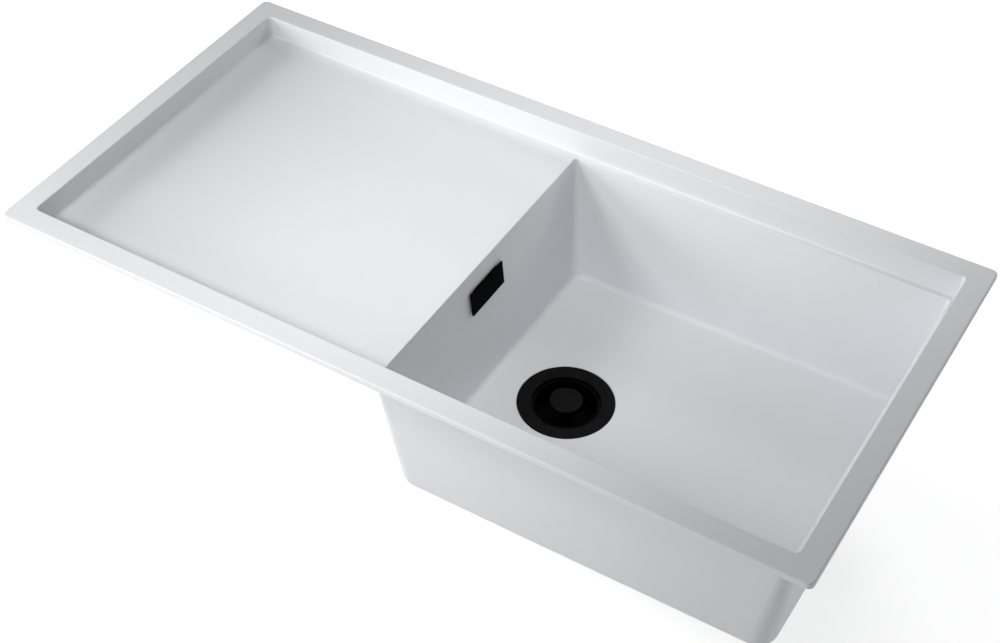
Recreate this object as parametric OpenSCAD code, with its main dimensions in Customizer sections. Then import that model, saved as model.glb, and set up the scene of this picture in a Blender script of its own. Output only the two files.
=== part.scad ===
// Composite kitchen sink with a sunk drainboard on the left and a deep bowl on the right,
// with its strainer waste, overflow and the clips that hold it in a worktop.
// The frame has X along the worktop, Y to the wall and Z up. Its origin lies on the underside
// of the foam strip, in the middle of the front of the sink, where the strip meets the worktop.

/* [Rim] */
// Length of the sink along the worktop
sink_l = 1000; // [940:5:1060]
// Depth of the sink from front to back
sink_w = 500; // [480:5:520]
// Thickness of the rim
rim_t = 8; // [6:0.5:11]
// Width of the rim, from the outer edge to the recess
rim_w = 27.5; // [25:0.5:32]
// Radius of the rim's outer corners
rim_corner_r = 7; // [6:0.5:12]
// Rounding of the rim's top outer edge
rim_edge_r = 1.5; // [0.5:0.25:2.5]
// Bevel along the inner edges of the rim and the top edge of the bowl
edge_bevel = 1; // [0.5:0.25:1.5]
// Wall thickness of the casting
wall_t = 9.5; // [8:0.25:11]

/* [Recess] */
// Depth of the drainboard below the rim at its far end
recess_shallow = 29; // [25:0.5:31]
// Depth of the drainboard at the bowl, and of the ledge round the bowl
recess_deep = 34; // [32:0.5:38]
// Radius of the recess corners
recess_corner_r = 5; // [4:0.5:8]
// Radius between the recess floor and its walls
recess_cove_r = 4; // [2:0.5:4]
// Radius of the tray's corners under the rim
tray_corner_r = 18; // [18:0.5:24]
// Radius between the tray's underside and its outer walls
tray_round_r = 17.5; // [10:0.5:18]
// Width of the ledge in front of the bowl
ledge_front = 15; // [8:0.5:18]
// Width of the ledge behind the bowl
ledge_back = 7; // [6:0.5:14]
// Width of the ledge at the bowl's right end
ledge_right = 9.5; // [7:0.5:14]

/* [Bowl] */
// Length of the bowl at its top edge
bowl_l = 475; // [440:5:500]
// Depth from the rim to the bowl floor at the drain
bowl_depth = 204; // [190:1:215]
// Rise of the bowl floor from the left end to the right end
floor_fall = 5.3; // [3:0.1:7]
// Draft of the bowl walls in degrees
wall_draft = 5.5; // [4:0.25:6.5]
// Radius of the bowl's upright corners at the top
bowl_top_r = 4; // [3:0.5:6]
// Radius of the bowl's upright corners at the floor
bowl_foot_r = 15; // [13:0.5:20]
// Radius between the bowl floor and its walls
floor_cove_r = 8; // [5:0.5:12]
// Drain centre, measured from the bowl's left top edge
drain_from_left = 115; // [105:1:150]

/* [Waste] */
// Hole in the bowl floor
waste_hole_d = 90; // [88:0.5:92]
// Outer diameter of the drain flange
flange_d = 116; // [110:1:118]
// Opening inside the drain flange
flange_open_d = 82; // [80:0.5:84]
// Sheet thickness of the flange and its cup
flange_sheet_t = 1.5; // [1:0.1:1.8]
// Depth of the flange cup below the bowl floor
cup_depth = 42; // [41:0.5:50]
// Diameter of the cup below the step that carries the basket
cup_d = 77; // [74:0.5:78]
// Thickness of the seal under the flange
flange_seal_t = 1.5; // [1:0.25:2]
// Thickness of the seal above the waste body
body_seal_t = 2.5; // [2:0.25:4]
// Wall of the plastic waste parts
plastic_t = 3; // [2.5:0.25:3.5]
// Outer diameter of the outlet thread
outlet_thread_d = 47.8; // [46:0.1:50]
// Length of the outlet thread
outlet_l = 22; // [18:1:30]
// Depth of the waste body from its seal to the outlet's top
body_depth = 56; // [54:1:70]

/* [Basket] */
// Diameter of the knob
knob_d = 40; // [34:1:44]
// Height of the knob above the bowl floor
knob_proud = 4; // [2:0.5:6]
// Thickness of the knob
knob_t = 7; // [5:0.5:8]
// Travel of the knob from open to shut
stopper_travel = 6; // [4:0.5:6]
// Depth of the basket below its rim
basket_depth = 20; // [14:0.5:21]
// Diameter of the basket at its bottom
basket_foot_d = 66; // [60:1:68]
// Wall of the basket
basket_t = 1.2; // [1:0.1:1.6]
// Diameter of the holes in the basket
basket_hole_d = 3.6; // [3:0.1:4]
// Diameter of the post
post_d = 6; // [5:0.5:7]

/* [Overflow] */
// Width of the overflow cover
cover_w = 68; // [64:1:76]
// Height of the overflow cover
cover_h = 32; // [30:1:36]
// Thickness of the overflow cover
cover_t = 1.8; // [1.2:0.1:2.4]
// Centre of the cover below the rim
cover_below_rim = 73.8; // [68:0.2:90]
// Width of the slot in the bowl wall
slot_w = 52; // [48:1:54]
// Height of the slot in the bowl wall
slot_h = 20; // [18:0.5:22]
// Outer diameter of the overflow hose
hose_d = 22; // [20:0.5:23]
// Bore of the overflow hose
hose_bore_d = 15; // [13:0.5:16]
// Distance between the ribs of the hose
rib_pitch = 5; // [4:0.5:7]
// Bend radius of the hose
hose_bend_r = 34; // [30:1:36]

/* [Fixings] */
// Thickness of the worktop that the clips grip
worktop_t = 38; // [38:0.5:42]
// Diameter of the fixing screws
screw_d = 5; // [4:0.5:6]
// Reach of a clip from its screw to its tip
clip_reach = 54; // [46:1:60]
// Width of a clip
clip_w = 14; // [12:0.5:15]
// Thickness of a clip
clip_t = 2.5; // [2:0.25:3]
// Distance of the clips under the drainboard from the rim's edge
tray_clip_inset = 48; // [46:1:60]
// Distance of the clips round the bowl from the rim's edge
bowl_clip_inset = 18.5; // [18:0.25:19.5]
// Width of the foam strip under the rim
seal_w = 8; // [6:0.5:9]
// Thickness of the foam strip
seal_t = 2; // [1.5:0.25:3]
// Distance of the foam strip from the rim's edge
seal_inset = 4; // [3:0.25:5]

/* [Hidden] */
$fn = 96;
// Facets of the blended corners
corner_fn = 24;
// Steps in a quarter of a rounding
round_steps = 4;
// Overrun of every cut
cut = 1;
// Gap between pieces that move past each other
move_gap = 0.3;
// Gap round a shaft that turns or slides in its hole
run_gap = 0.05;
// Gap round a fixed piece in its hole
fit_gap = 0.1;

// Levels
rim_z = seal_t;
top_z = seal_t + rim_t;
far_z = top_z - recess_shallow;
ledge_z = top_z - recess_deep;
drain_z = top_z - bowl_depth;

// Outline of the rim
left_x = -sink_l / 2;
right_x = sink_l / 2;
front_y = -seal_inset - seal_w / 2;
back_y = front_y + sink_w;
mid_y = front_y + sink_w / 2;

// Outline of the bowl's top edge
bowl_right_x = right_x - rim_w - ledge_right;
bowl_left_x = bowl_right_x - bowl_l;
bowl_front_y = front_y + rim_w + ledge_front;
bowl_back_y = back_y - rim_w - ledge_back;
drain_x = bowl_left_x + drain_from_left;
floor_slope = floor_fall / bowl_l;

// Pocket and pad round the drain hole
flange_r = flange_d / 2;
flange_proud = 0.6;
pocket_gap = 0.5;
pocket_depth = flange_sheet_t + flange_seal_t - flange_proud;
pad_t = 2;
pad_margin = 4;
pad_z = drain_z - wall_t - pad_t - floor_slope * flange_r;

// Cup of the flange, with the step that carries the basket
open_r = flange_open_d / 2;
cup_r = cup_d / 2;
cup_taper = 2;
cup_foot_r = cup_r - cup_taper;
cup_round = 2;
step_depth = 5;
slot_count = 8;
slot_angle = 26;
slot_inner_r = 13;
slot_outer_r = 24;

// Knob, post and stopper
post_r = post_d / 2;
knob_r = knob_d / 2;
knob_round = 1.5;
neck_r = 8;
neck_l = 3.5;
stopper_r = 27;
stopper_t = 7.5;
stopper_hollow_r = 9;
stopper_hollow = 4.5;
stopper_low = cup_depth - stopper_travel - move_gap;
stopper_web_low = stopper_low - stopper_hollow;
post_clip_r = 5;
post_clip_t = 0.8;
post_end = stopper_web_low + post_clip_t + 0.8 * post_clip_t;

// Basket
basket_rim_t = 1.5;
basket_rim_r = open_r - move_gap;
basket_top_r = cup_r - 2 * move_gap;
basket_foot_r = basket_foot_d / 2;
basket_seat = step_depth - move_gap;
basket_low = basket_seat + basket_depth;
hub_r = 6;
hub_l = 9;
hole_rings = 3;
hole_ring_gap = 7;
hole_first_r = 11.5;
hole_share = 0.46;
notch_count = 6;
notch_angle = 34;
notch_start = 13;
notch_lip = 0.4;

// Clamp screw and its nut in the hub of the waste body
clamp_r = 3;
clamp_head_r = 6.5;
clamp_head_t = 2.2;
clamp_nut_r = 6.5;
clamp_nut_t = 6;
clamp_hub_r = 10;
clamp_hub_l = 14;
clamp_hub_gap = 7;
clamp_ribs = 3;
clamp_rib_t = 4;
clamp_rib_h = 9;
clamp_tail = 3;
hub_top = cup_depth + flange_sheet_t + clamp_hub_gap;

// Waste body
body_top = (drain_z - pad_z) + body_seal_t;
body_flange_over = 1;
body_flange_r = flange_r + body_flange_over;
body_flange_t = 4;
body_hole_over = 1.5;
body_r = waste_hole_d / 2 + plastic_t + body_hole_over;
body_inner_r = body_r - plastic_t;
body_low = body_top + body_depth;
outlet_r = outlet_thread_d / 2;
outlet_thread_h = 0.9;
outlet_bore_r = outlet_r - plastic_t - outlet_thread_h;
cone_l = 10;
straight_low = body_low - cone_l;
outlet_end = body_low + outlet_l;
gusset_count = 8;
gusset_t = 3;
gusset_l = 7;

// Hose spigots and nuts
hose_r = hose_d / 2;
hose_bore_r = hose_bore_d / 2;
rib_depth = 1.7;
spigot_over_hose = 1.45;
spigot_r = hose_r + spigot_over_hose;
spigot_l = 20;
port_drop = 38;
port_z = drain_z - port_drop;
nut_wall = 3.5;
nut_r = spigot_r + nut_wall;
nut_l = 22;
nut_grip = 12;
nut_lip = 3;
nut_ribs = 12;
nut_rib_r = 1.2;
washer_l = 5;
washer_taper = 1;

// Overflow, placed on the sloping left wall of the bowl
cover_z = top_z - cover_below_rim;
slot_corner_r = 4;
frame_flange_t = 1;
frame_flange_w = 4;
frame_wall = 1.3;
lug_w = 9;
lug_t = 4;
oscrew_r = 2;
oscrew_head_r = 3.5;
oscrew_head_t = 1.8;
oscrew_rise = 4;
peg_r = 1.6;
peg_drop = 4.5;
peg_l = 3;
cover_gap = 1.2;
cover_corner_r = 0.8;
gasket_t = 2;
gasket_w = 6;
obody_wall = 2;
obody_depth = 28.5;
obody_margin_v = 6;
obody_rise = 15;
obody_drop = 17;
spigot_in = 16;
oboss_r = 4;
lug_v = slot_w / 2 - frame_wall - lug_w / 2;

// Clips: bosses, inserts and screws
boss_short = 2;
boss_z = boss_short - worktop_t;
boss_r = 6;
tray_boss_r = 9;
tray_boss_top = (far_z - wall_t + ledge_z) / 2;
boss_web_t = 8;
boss_web_l = 9;
insert_r = 3.5;
insert_l = 8;
insert_below = 0.2;
screw_r = screw_d / 2;
screw_head_r = 5;
screw_head_t = 3;
screw_socket_d = 4;
screw_socket_t = 1.6;
clip_gap = 0.2;
clip_top_z = boss_z - clip_gap;
clip_tip_z = -worktop_t - move_gap;
clip_step_share = 0.22;
clip_low_share = 0.31;
clip_rise_share = 0.83;
clip_flat_share = 0.91;
clip_dip = 1.6;
clip_low_z = clip_tip_z - clip_dip;

// Stretch of the front and back sides that the clips under the drainboard have
tray_run_from = left_x + tray_clip_inset + clip_reach;
tray_run_to = bowl_left_x - wall_t - clip_w - clip_reach;

// Each clip has its distance from the rim's edge, its share of the stretch it stands on, and
// the direction, in degrees, that its side faces
clip_shares = [
    [tray_clip_inset, 0.20, 270],
    [tray_clip_inset, 0.96, 270],
    [tray_clip_inset, 0.32, 90],
    [bowl_clip_inset, 0.24, 90],
    [bowl_clip_inset, 0.78, 90],
    [tray_clip_inset, 0.50, 180],
    [bowl_clip_inset, 0.30, 0],
    [bowl_clip_inset, 0.72, 0],
];

function clip_x(c) =
    c[2] == 0 ? right_x - c[0] :
    c[2] == 180 ? left_x + c[0] :
    c[0] == tray_clip_inset ? tray_run_from + c[1] * (tray_run_to - tray_run_from) :
    bowl_left_x + c[1] * bowl_l;

function clip_y(c) =
    c[2] == 90 ? back_y - c[0] :
    c[2] == 270 ? front_y + c[0] :
    front_y + c[1] * sink_w;

// Bowl floor level and the inset of a wall that starts at the ledge
function floor_z(x) = drain_z + (x - drain_x) * floor_slope;
function wall_in(z) = (ledge_z - z) * tan(wall_draft);

// Points of a quarter round about a centre, from one angle to the other
function quarter(c, r, from, to) = [
    for (i = [0:round_steps])
        let (a = from + (to - from) * i / round_steps)
        [c[0] + r * cos(a), c[1] + r * sin(a)]
];

// Flat rectangle with round corners
module round_rect(x0, x1, y0, y1, r) {
    translate([x0 + r, y0]) square([x1 - x0 - 2 * r, y1 - y0]);
    translate([x0, y0 + r]) square([x1 - x0, y1 - y0 - 2 * r]);
    for (x = [x0 + r, x1 - r], y = [y0 + r, y1 - r])
        translate([x, y]) circle(r = r);
}

// Disc whose lower edge is rounded, standing on the level z = 0
module foot_disc(r, cove) {
    rotate_extrude($fn = corner_fn)
        polygon(concat([[0, 0]], quarter([r - cove, cove], cove, -90, 0), [[0, cove]]));
}

// Post whose upper edge is rounded, from the level z = 0 up
module top_post(r, h, edge) {
    rotate_extrude($fn = corner_fn)
        polygon(concat([[0, 0], [r, 0]], quarter([r - edge, h - edge], edge, 0, 90), [[0, h]]));
}

// Children repeated at the four corners of a rectangle, inset by r
module at_corners(x0, x1, y0, y1, r) {
    for (x = [x0 + r, x1 - r], y = [y0 + r, y1 - r])
        translate([x, y]) children();
}

// Space of the bowl grown outwards by g, from the level z_top down
module bowl_form(g, z_top) {
    w = wall_in(z_top) - g;
    hull() {
        translate([0, 0, z_top - cut])
            at_corners(bowl_left_x + w, bowl_right_x - w, bowl_front_y + w, bowl_back_y - w,
                bowl_top_r + g)
            cylinder(r = bowl_top_r + g, h = cut, $fn = corner_fn);
        for (side = [0, 1]) {
            x_top = side == 0 ? bowl_left_x : bowl_right_x;
            z = floor_z(x_top) + floor_cove_r;
            in = wall_in(z) - g;
            r = bowl_foot_r + g;
            x = side == 0 ? x_top + in + r : x_top - in - r;
            for (y = [bowl_front_y + in + r, bowl_back_y - in - r])
                translate([x, y, z - floor_cove_r - g]) foot_disc(r, floor_cove_r + g);
        }
    }
}

// Space of the recess grown outwards by g, with corner radius r, from the level z_top down
module recess_form(g, r, cove, z_top) {
    x0 = left_x + rim_w - g;
    x1 = right_x - rim_w + g;
    y0 = front_y + rim_w - g;
    y1 = back_y - rim_w + g;
    places = [[x0 + r, far_z], [bowl_left_x, ledge_z], [x1 - r, ledge_z]];
    hull()
        for (y = [y0 + r, y1 - r]) {
            for (p = places)
                translate([p[0], y, p[1] - g]) foot_disc(r, cove);
            for (x = [x0 + r, x1 - r])
                translate([x, y, z_top - cut]) cylinder(r = r, h = cut, $fn = corner_fn);
        }
}

// Bevel that opens outwards round a rectangle with corner radius r, at the level z
module bevel(x0, x1, y0, y1, r, z) {
    e = edge_bevel;
    hull() {
        translate([0, 0, z - e]) at_corners(x0, x1, y0, y1, r)
            cylinder(r = r, h = e / 2, $fn = corner_fn);
        translate([0, 0, z]) at_corners(x0 - e, x1 + e, y0 - e, y1 + e, r + e)
            cylinder(r = r + e, h = cut, $fn = corner_fn);
    }
}

// Children placed on the sloping left wall of the bowl: +X points into the bowl and Z runs up
// the wall
module on_wall() {
    translate([bowl_left_x + wall_in(cover_z), mid_y, cover_z])
        rotate([0, -wall_draft, 0]) children();
}

// Rounded plate in the wall's frame, u0 to u1 through the wall
module wall_plate(u0, u1, w, h, r) {
    translate([u0, 0, 0])
        rotate([90, 0, 90])
        linear_extrude(u1 - u0)
        round_rect(-w / 2, w / 2, -h / 2, h / 2, r);
}

// Straight round bar in the wall's frame, u0 to u1 through the wall
module wall_bar(u0, u1, v, w, r) {
    translate([u0, v, w]) rotate([0, 90, 0]) cylinder(r = r, h = u1 - u0);
}

// Children placed at a clip's screw, with +X along the clip as it lies under the sink
module at_clip(c) {
    translate([clip_x(c), clip_y(c), 0]) rotate([0, 0, c[2] + 90]) children();
}

// Moulded boss that takes a clip's insert. Round the bowl a web ties it to the bowl wall.
module boss(c) {
    at_clip(c) {
        if (c[0] == tray_clip_inset)
            translate([0, 0, boss_z]) cylinder(r = tray_boss_r, h = tray_boss_top - boss_z);
        else {
            translate([0, 0, boss_z]) cylinder(r = boss_r, h = rim_z - boss_z + rim_t / 2);
            translate([-boss_web_t / 2, 0, boss_z])
                cube([boss_web_t, boss_web_l, rim_z - boss_z + rim_t / 2]);
        }
    }
}

module sink_body() {
    color("whitesmoke")
    difference() {
        union() {
            hull()
                translate([0, 0, rim_z])
                at_corners(left_x, right_x, front_y, back_y, rim_corner_r)
                top_post(rim_corner_r, rim_t, rim_edge_r);
            recess_form(wall_t, tray_corner_r, tray_round_r, rim_z + cut);
            bowl_form(wall_t, rim_z + cut);
            translate([drain_x, mid_y, pad_z])
                cylinder(r = flange_r + pad_margin, h = wall_t);
            for (c = clip_shares) boss(c);
        }
        recess_form(0, recess_corner_r, recess_cove_r, top_z + cut);
        bevel(left_x + rim_w, right_x - rim_w, front_y + rim_w, back_y - rim_w,
            recess_corner_r, top_z);
        bowl_form(0, ledge_z + cut);
        bevel(bowl_left_x, bowl_right_x, bowl_front_y, bowl_back_y, bowl_top_r, ledge_z);
        translate([drain_x, mid_y, 0]) {
            translate([0, 0, pad_z - cut])
                cylinder(d = waste_hole_d, h = drain_z - pad_z + 2 * cut);
            translate([0, 0, drain_z - pocket_depth])
                cylinder(r = flange_r + pocket_gap, h = pocket_depth + 2 * cut);
        }
        on_wall() wall_plate(-wall_t - 2 * cut, cut, slot_w, slot_h, slot_corner_r);
        for (c = clip_shares)
            at_clip(c) translate([0, 0, boss_z - cut])
                cylinder(r = insert_r + fit_gap, h = insert_l + insert_below + cut);
    }
}

module rim_seal() {
    r = rim_corner_r - seal_inset;
    color("dimgray")
    linear_extrude(seal_t)
    difference() {
        round_rect(left_x + seal_inset, right_x - seal_inset, front_y + seal_inset,
            back_y - seal_inset, r);
        round_rect(left_x + seal_inset + seal_w, right_x - seal_inset - seal_w,
            front_y + seal_inset + seal_w, back_y - seal_inset - seal_w, r);
    }
}

// Children placed on the drain's axis at the level of the bowl floor
module at_drain() {
    translate([drain_x, mid_y, drain_z]) children();
}

module waste_flange() {
    s = flange_sheet_t;
    top = flange_proud;
    color([0.07, 0.07, 0.075])
    at_drain()
    difference() {
        rotate_extrude()
            polygon([
                [clamp_r + fit_gap, -cup_depth],
                [cup_foot_r - cup_round, -cup_depth],
                [cup_foot_r, -cup_depth + cup_round],
                [cup_r, -step_depth],
                [open_r, -step_depth],
                [open_r, -s],
                [open_r + s / 2, 0],
                [flange_r - s, top],
                [flange_r - s / 2, top - s / 4],
                [flange_r, top - s],
                [open_r + s, top - s],
                [open_r + s, -step_depth - s],
                [cup_r + s, -step_depth - s],
                [cup_foot_r + s, -cup_depth + cup_round],
                [cup_foot_r + s - cup_round, -cup_depth - s],
                [clamp_r + fit_gap, -cup_depth - s],
            ]);
        for (i = [0:slot_count - 1])
            rotate([0, 0, i * 360 / slot_count])
                translate([0, 0, -cup_depth - s - cut])
                rotate_extrude(angle = slot_angle)
                translate([slot_inner_r, 0]) square([slot_outer_r - slot_inner_r, s + 2 * cut]);
    }
}

module flange_seal() {
    color("dimgray")
    at_drain()
    rotate_extrude()
        translate([waste_hole_d / 2, -pocket_depth])
        square([flange_r - flange_sheet_t - waste_hole_d / 2, flange_seal_t - fit_gap]);
}

module strainer_basket() {
    t = basket_t;
    low = -basket_low;
    color([0.06, 0.06, 0.065])
    at_drain()
    difference() {
        rotate_extrude()
            polygon([
                [post_r + run_gap, low],
                [basket_foot_r, low],
                [basket_top_r, -basket_seat],
                [basket_rim_r, -basket_seat],
                [basket_rim_r, -basket_seat + basket_rim_t],
                [basket_top_r - t, -basket_seat + basket_rim_t],
                [basket_foot_r - t, low + t],
                [hub_r, low + t],
                [hub_r - t / 2, low + hub_l],
                [post_r + run_gap, low + hub_l],
            ]);
        for (i = [0:notch_count - 1])
            rotate([0, 0, notch_start + i * 360 / notch_count])
                translate([0, 0, -basket_seat - cut])
                rotate_extrude(angle = notch_angle)
                translate([basket_top_r + notch_lip, 0])
                square([basket_rim_r - basket_top_r + cut, basket_rim_t + 2 * cut]);
        for (ring = [0:hole_rings - 1]) {
            ring_r = hole_first_r + ring * hole_ring_gap;
            count = floor(PI * 2 * ring_r * hole_share / basket_hole_d);
            for (i = [0:count - 1])
                rotate([0, 0, i * 360 / count])
                    translate([ring_r, 0, low - cut])
                    cylinder(d = basket_hole_d, h = t + 2 * cut, $fn = 24);
        }
    }
}

module basket_knob() {
    low = knob_proud - knob_t;
    color([0.09, 0.09, 0.095])
    at_drain()
    rotate_extrude()
        polygon(concat(
            [[0, -post_end], [post_r, -post_end], [post_r, low - neck_l], [neck_r, low - neck_l],
                [neck_r, low], [knob_r - knob_round, low], [knob_r, low + knob_round]],
            quarter([knob_r - knob_round, knob_proud - knob_round], knob_round, 0, 90),
            [[0, knob_proud]]));
}

module stopper() {
    color([0.12, 0.12, 0.12])
    at_drain()
    rotate_extrude()
        polygon([
            [post_r + run_gap, -stopper_web_low],
            [stopper_hollow_r, -stopper_web_low],
            [stopper_hollow_r, -stopper_low],
            [stopper_r, -stopper_low],
            [stopper_r, -stopper_low + stopper_t / 2],
            [stopper_hollow_r, -stopper_low + stopper_t],
            [post_r + run_gap, -stopper_low + stopper_t],
        ]);
}

module post_clip() {
    color("silver")
    at_drain()
    translate([0, 0, -stopper_web_low - post_clip_t - run_gap])
    difference() {
        cylinder(r = post_clip_r, h = post_clip_t);
        translate([0, 0, -cut]) cylinder(r = post_r + run_gap, h = post_clip_t + 2 * cut);
    }
}

module clamp_screw() {
    color("silver")
    at_drain()
    difference() {
        union() {
            translate([0, 0, -cup_depth]) cylinder(r = clamp_head_r, h = clamp_head_t);
            translate([0, 0, -hub_top - clamp_hub_l - clamp_tail])
                cylinder(r = clamp_r, h = hub_top + clamp_hub_l + clamp_tail - cup_depth);
        }
        for (a = [0, 90])
            rotate([0, 0, a])
                translate([-clamp_r, -clamp_r / 6, -cup_depth + clamp_head_t / 2])
                cube([2 * clamp_r, clamp_r / 3, clamp_head_t]);
    }
}

module clamp_nut() {
    color("goldenrod")
    at_drain()
    translate([0, 0, -hub_top - clamp_nut_t])
    difference() {
        cylinder(r = clamp_nut_r, h = clamp_nut_t, $fn = 6);
        translate([0, 0, -cut]) cylinder(r = clamp_r + run_gap, h = clamp_nut_t + 2 * cut);
    }
}

module body_seal() {
    color("dimgray")
    at_drain()
    rotate_extrude()
        translate([body_inner_r, -body_top])
        square([body_flange_r - body_inner_r, body_seal_t]);
}

// Spigot along +X from the origin, with its thread as a plain round
module spigot(l) {
    rotate([0, 90, 0]) cylinder(r = spigot_r, h = l);
}

module waste_body() {
    b = body_low;
    color([0.13, 0.13, 0.14])
    at_drain()
    difference() {
        union() {
            difference() {
                union() {
                    rotate_extrude()
                        polygon([
                            [0, -body_top],
                            [body_flange_r, -body_top],
                            [body_flange_r, -body_top - body_flange_t],
                            [body_r, -body_top - body_flange_t],
                            [body_r, -straight_low],
                            [outlet_r, -b - plastic_t],
                            [outlet_r, -outlet_end],
                            [0, -outlet_end],
                        ]);
                    translate([-body_r - spigot_l, 0, -port_drop])
                        spigot(spigot_l + plastic_t);
                    for (i = [0:gusset_count - 1])
                        rotate([0, 0, (i + 0.5) * 360 / gusset_count])
                            translate([0, -gusset_t / 2, -body_top - body_flange_t - gusset_l])
                            cube([body_flange_r - gusset_t, gusset_t, gusset_l + plastic_t]);
                }
                rotate_extrude()
                    polygon([
                        [0, -body_top + cut],
                        [body_inner_r, -body_top + cut],
                        [body_inner_r, -straight_low],
                        [outlet_bore_r, -b],
                        [outlet_bore_r, -outlet_end - cut],
                        [0, -outlet_end - cut],
                    ]);
            }
            translate([0, 0, -hub_top - clamp_hub_l])
                cylinder(r = clamp_hub_r, h = clamp_hub_l);
            for (i = [0:clamp_ribs - 1])
                rotate([0, 0, i * 360 / clamp_ribs])
                    translate([0, -clamp_rib_t / 2, -hub_top - clamp_rib_h])
                    cube([body_inner_r + plastic_t / 2, clamp_rib_t, clamp_rib_h]);
        }
        translate([0, 0, -hub_top - clamp_hub_l - cut])
            cylinder(r = clamp_r + fit_gap, h = clamp_hub_l + 2 * cut);
        translate([0, 0, -hub_top - clamp_nut_t])
            cylinder(r = clamp_nut_r + fit_gap, h = clamp_nut_t + cut, $fn = 6);
        translate([-body_r - spigot_l - cut, 0, -port_drop])
            rotate([0, 90, 0])
            cylinder(r = hose_bore_r, h = spigot_l + plastic_t + 2 * cut);
    }
}

module overflow_cover() {
    front = frame_flange_t + cover_gap + cover_t;
    color([0.03, 0.03, 0.035])
    on_wall() {
        wall_plate(front - cover_t, front, cover_w, cover_h, cover_corner_r);
        for (s = [-1, 1])
            wall_bar(-peg_l, front - cover_t / 2, s * lug_v, -peg_drop, peg_r);
    }
}

module overflow_frame() {
    w = slot_w - 2 * fit_gap;
    h = slot_h - 2 * fit_gap;
    color([0.1, 0.1, 0.1])
    on_wall()
    difference() {
        union() {
            wall_plate(0, frame_flange_t, slot_w + 2 * frame_flange_w,
                slot_h + 2 * frame_flange_w, slot_corner_r + frame_flange_w);
            wall_plate(-wall_t, frame_flange_t, w, h, slot_corner_r - fit_gap);
        }
        difference() {
            wall_plate(-wall_t - cut, frame_flange_t + cut, w - 2 * frame_wall,
                h - 2 * frame_wall, slot_corner_r - frame_wall);
            for (s = [-1, 1])
                translate([-lug_t, s * lug_v - lug_w / 2, -slot_h / 2])
                    cube([lug_t, lug_w, slot_h]);
        }
        for (s = [-1, 1]) {
            wall_bar(-lug_t - cut, cut, s * lug_v, oscrew_rise, oscrew_r + fit_gap);
            wall_bar(-oscrew_head_t - fit_gap, 2 * cut, s * lug_v, oscrew_rise,
                oscrew_head_r + fit_gap);
            wall_bar(-lug_t - cut, cut, s * lug_v, -peg_drop, peg_r + run_gap);
        }
    }
}

module overflow_screws() {
    color("silver")
    on_wall()
    for (s = [-1, 1])
        difference() {
            union() {
                wall_bar(-oscrew_head_t, 0, s * lug_v, oscrew_rise, oscrew_head_r);
                wall_bar(-wall_t - gasket_t - obody_depth / 2, -oscrew_head_t / 2, s * lug_v,
                    oscrew_rise, oscrew_r);
            }
            translate([-oscrew_head_t / 2, s * lug_v - oscrew_head_r, oscrew_rise])
                translate([0, 0, -oscrew_r / 6])
                cube([oscrew_head_t, 2 * oscrew_head_r, oscrew_r / 3]);
        }
}

module overflow_seal() {
    w = slot_w + 2 * gasket_w;
    h = slot_h + 2 * gasket_w;
    color("dimgray")
    on_wall()
    difference() {
        wall_plate(-wall_t - gasket_t, -wall_t - fit_gap, w, h, slot_corner_r + gasket_w);
        wall_plate(-wall_t - gasket_t - cut, -wall_t + cut, slot_w, slot_h, slot_corner_r);
    }
}

module overflow_body() {
    u1 = -wall_t - gasket_t;
    u0 = u1 - obody_depth;
    half_v = slot_w / 2 + obody_margin_v;
    h = obody_rise + obody_drop;
    mid_w = (obody_rise - obody_drop) / 2;
    color([0.13, 0.13, 0.14])
    on_wall()
    difference() {
        union() {
            difference() {
                translate([0, 0, mid_w])
                    wall_plate(u0, u1, 2 * half_v, h, slot_corner_r + obody_wall);
                translate([0, 0, mid_w])
                    wall_plate(u0 + obody_wall, u1 - obody_wall, 2 * (half_v - obody_wall),
                        h - 2 * obody_wall, slot_corner_r);
                wall_plate(u1 - obody_wall - cut, u1 + cut, slot_w, slot_h, slot_corner_r);
            }
            translate([u1 - spigot_in, 0, -obody_drop - spigot_l])
                cylinder(r = spigot_r, h = spigot_l + obody_wall);
            for (s = [-1, 1])
                wall_bar(u0, u1 - obody_wall, s * lug_v, oscrew_rise, oboss_r);
        }
        for (s = [-1, 1])
            wall_bar(u0 + obody_wall, u1 + cut, s * lug_v, oscrew_rise, oscrew_r + run_gap);
        translate([u1 - spigot_in, 0, -obody_drop - spigot_l - cut])
            cylinder(r = hose_bore_r, h = spigot_l + 2 * obody_wall + cut);
    }
}

// Route of the hose in the plane Y = mid_y: down along the bowl wall, round the bend and
// level into the waste body. It is given as distance run, and returns X, Z and the heading.
hose_start_u = -wall_t - gasket_t - spigot_in;
hose_start_w = -obody_drop - spigot_l;
hose_x0 = bowl_left_x + wall_in(cover_z) + hose_start_u * cos(wall_draft)
    - hose_start_w * sin(wall_draft);
hose_z0 = cover_z + hose_start_u * sin(wall_draft) + hose_start_w * cos(wall_draft);
hose_fall = 90 - wall_draft;
hose_drop_l = (hose_z0 - port_z - hose_bend_r * (1 - cos(hose_fall))) / sin(hose_fall);
hose_arc_l = hose_bend_r * PI * hose_fall / 180;
hose_x1 = hose_x0 + hose_drop_l * cos(hose_fall);
hose_x2 = hose_x1 + hose_bend_r * sin(hose_fall);
hose_x3 = drain_x - body_r - spigot_l;
hose_l = hose_drop_l + hose_arc_l + hose_x3 - hose_x2;
hose_cuff = hose_d;
hose_ribs = floor((hose_l - 2 * hose_cuff) / rib_pitch);
hose_sides = 8;
hose_bore_rings = 24;

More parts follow.
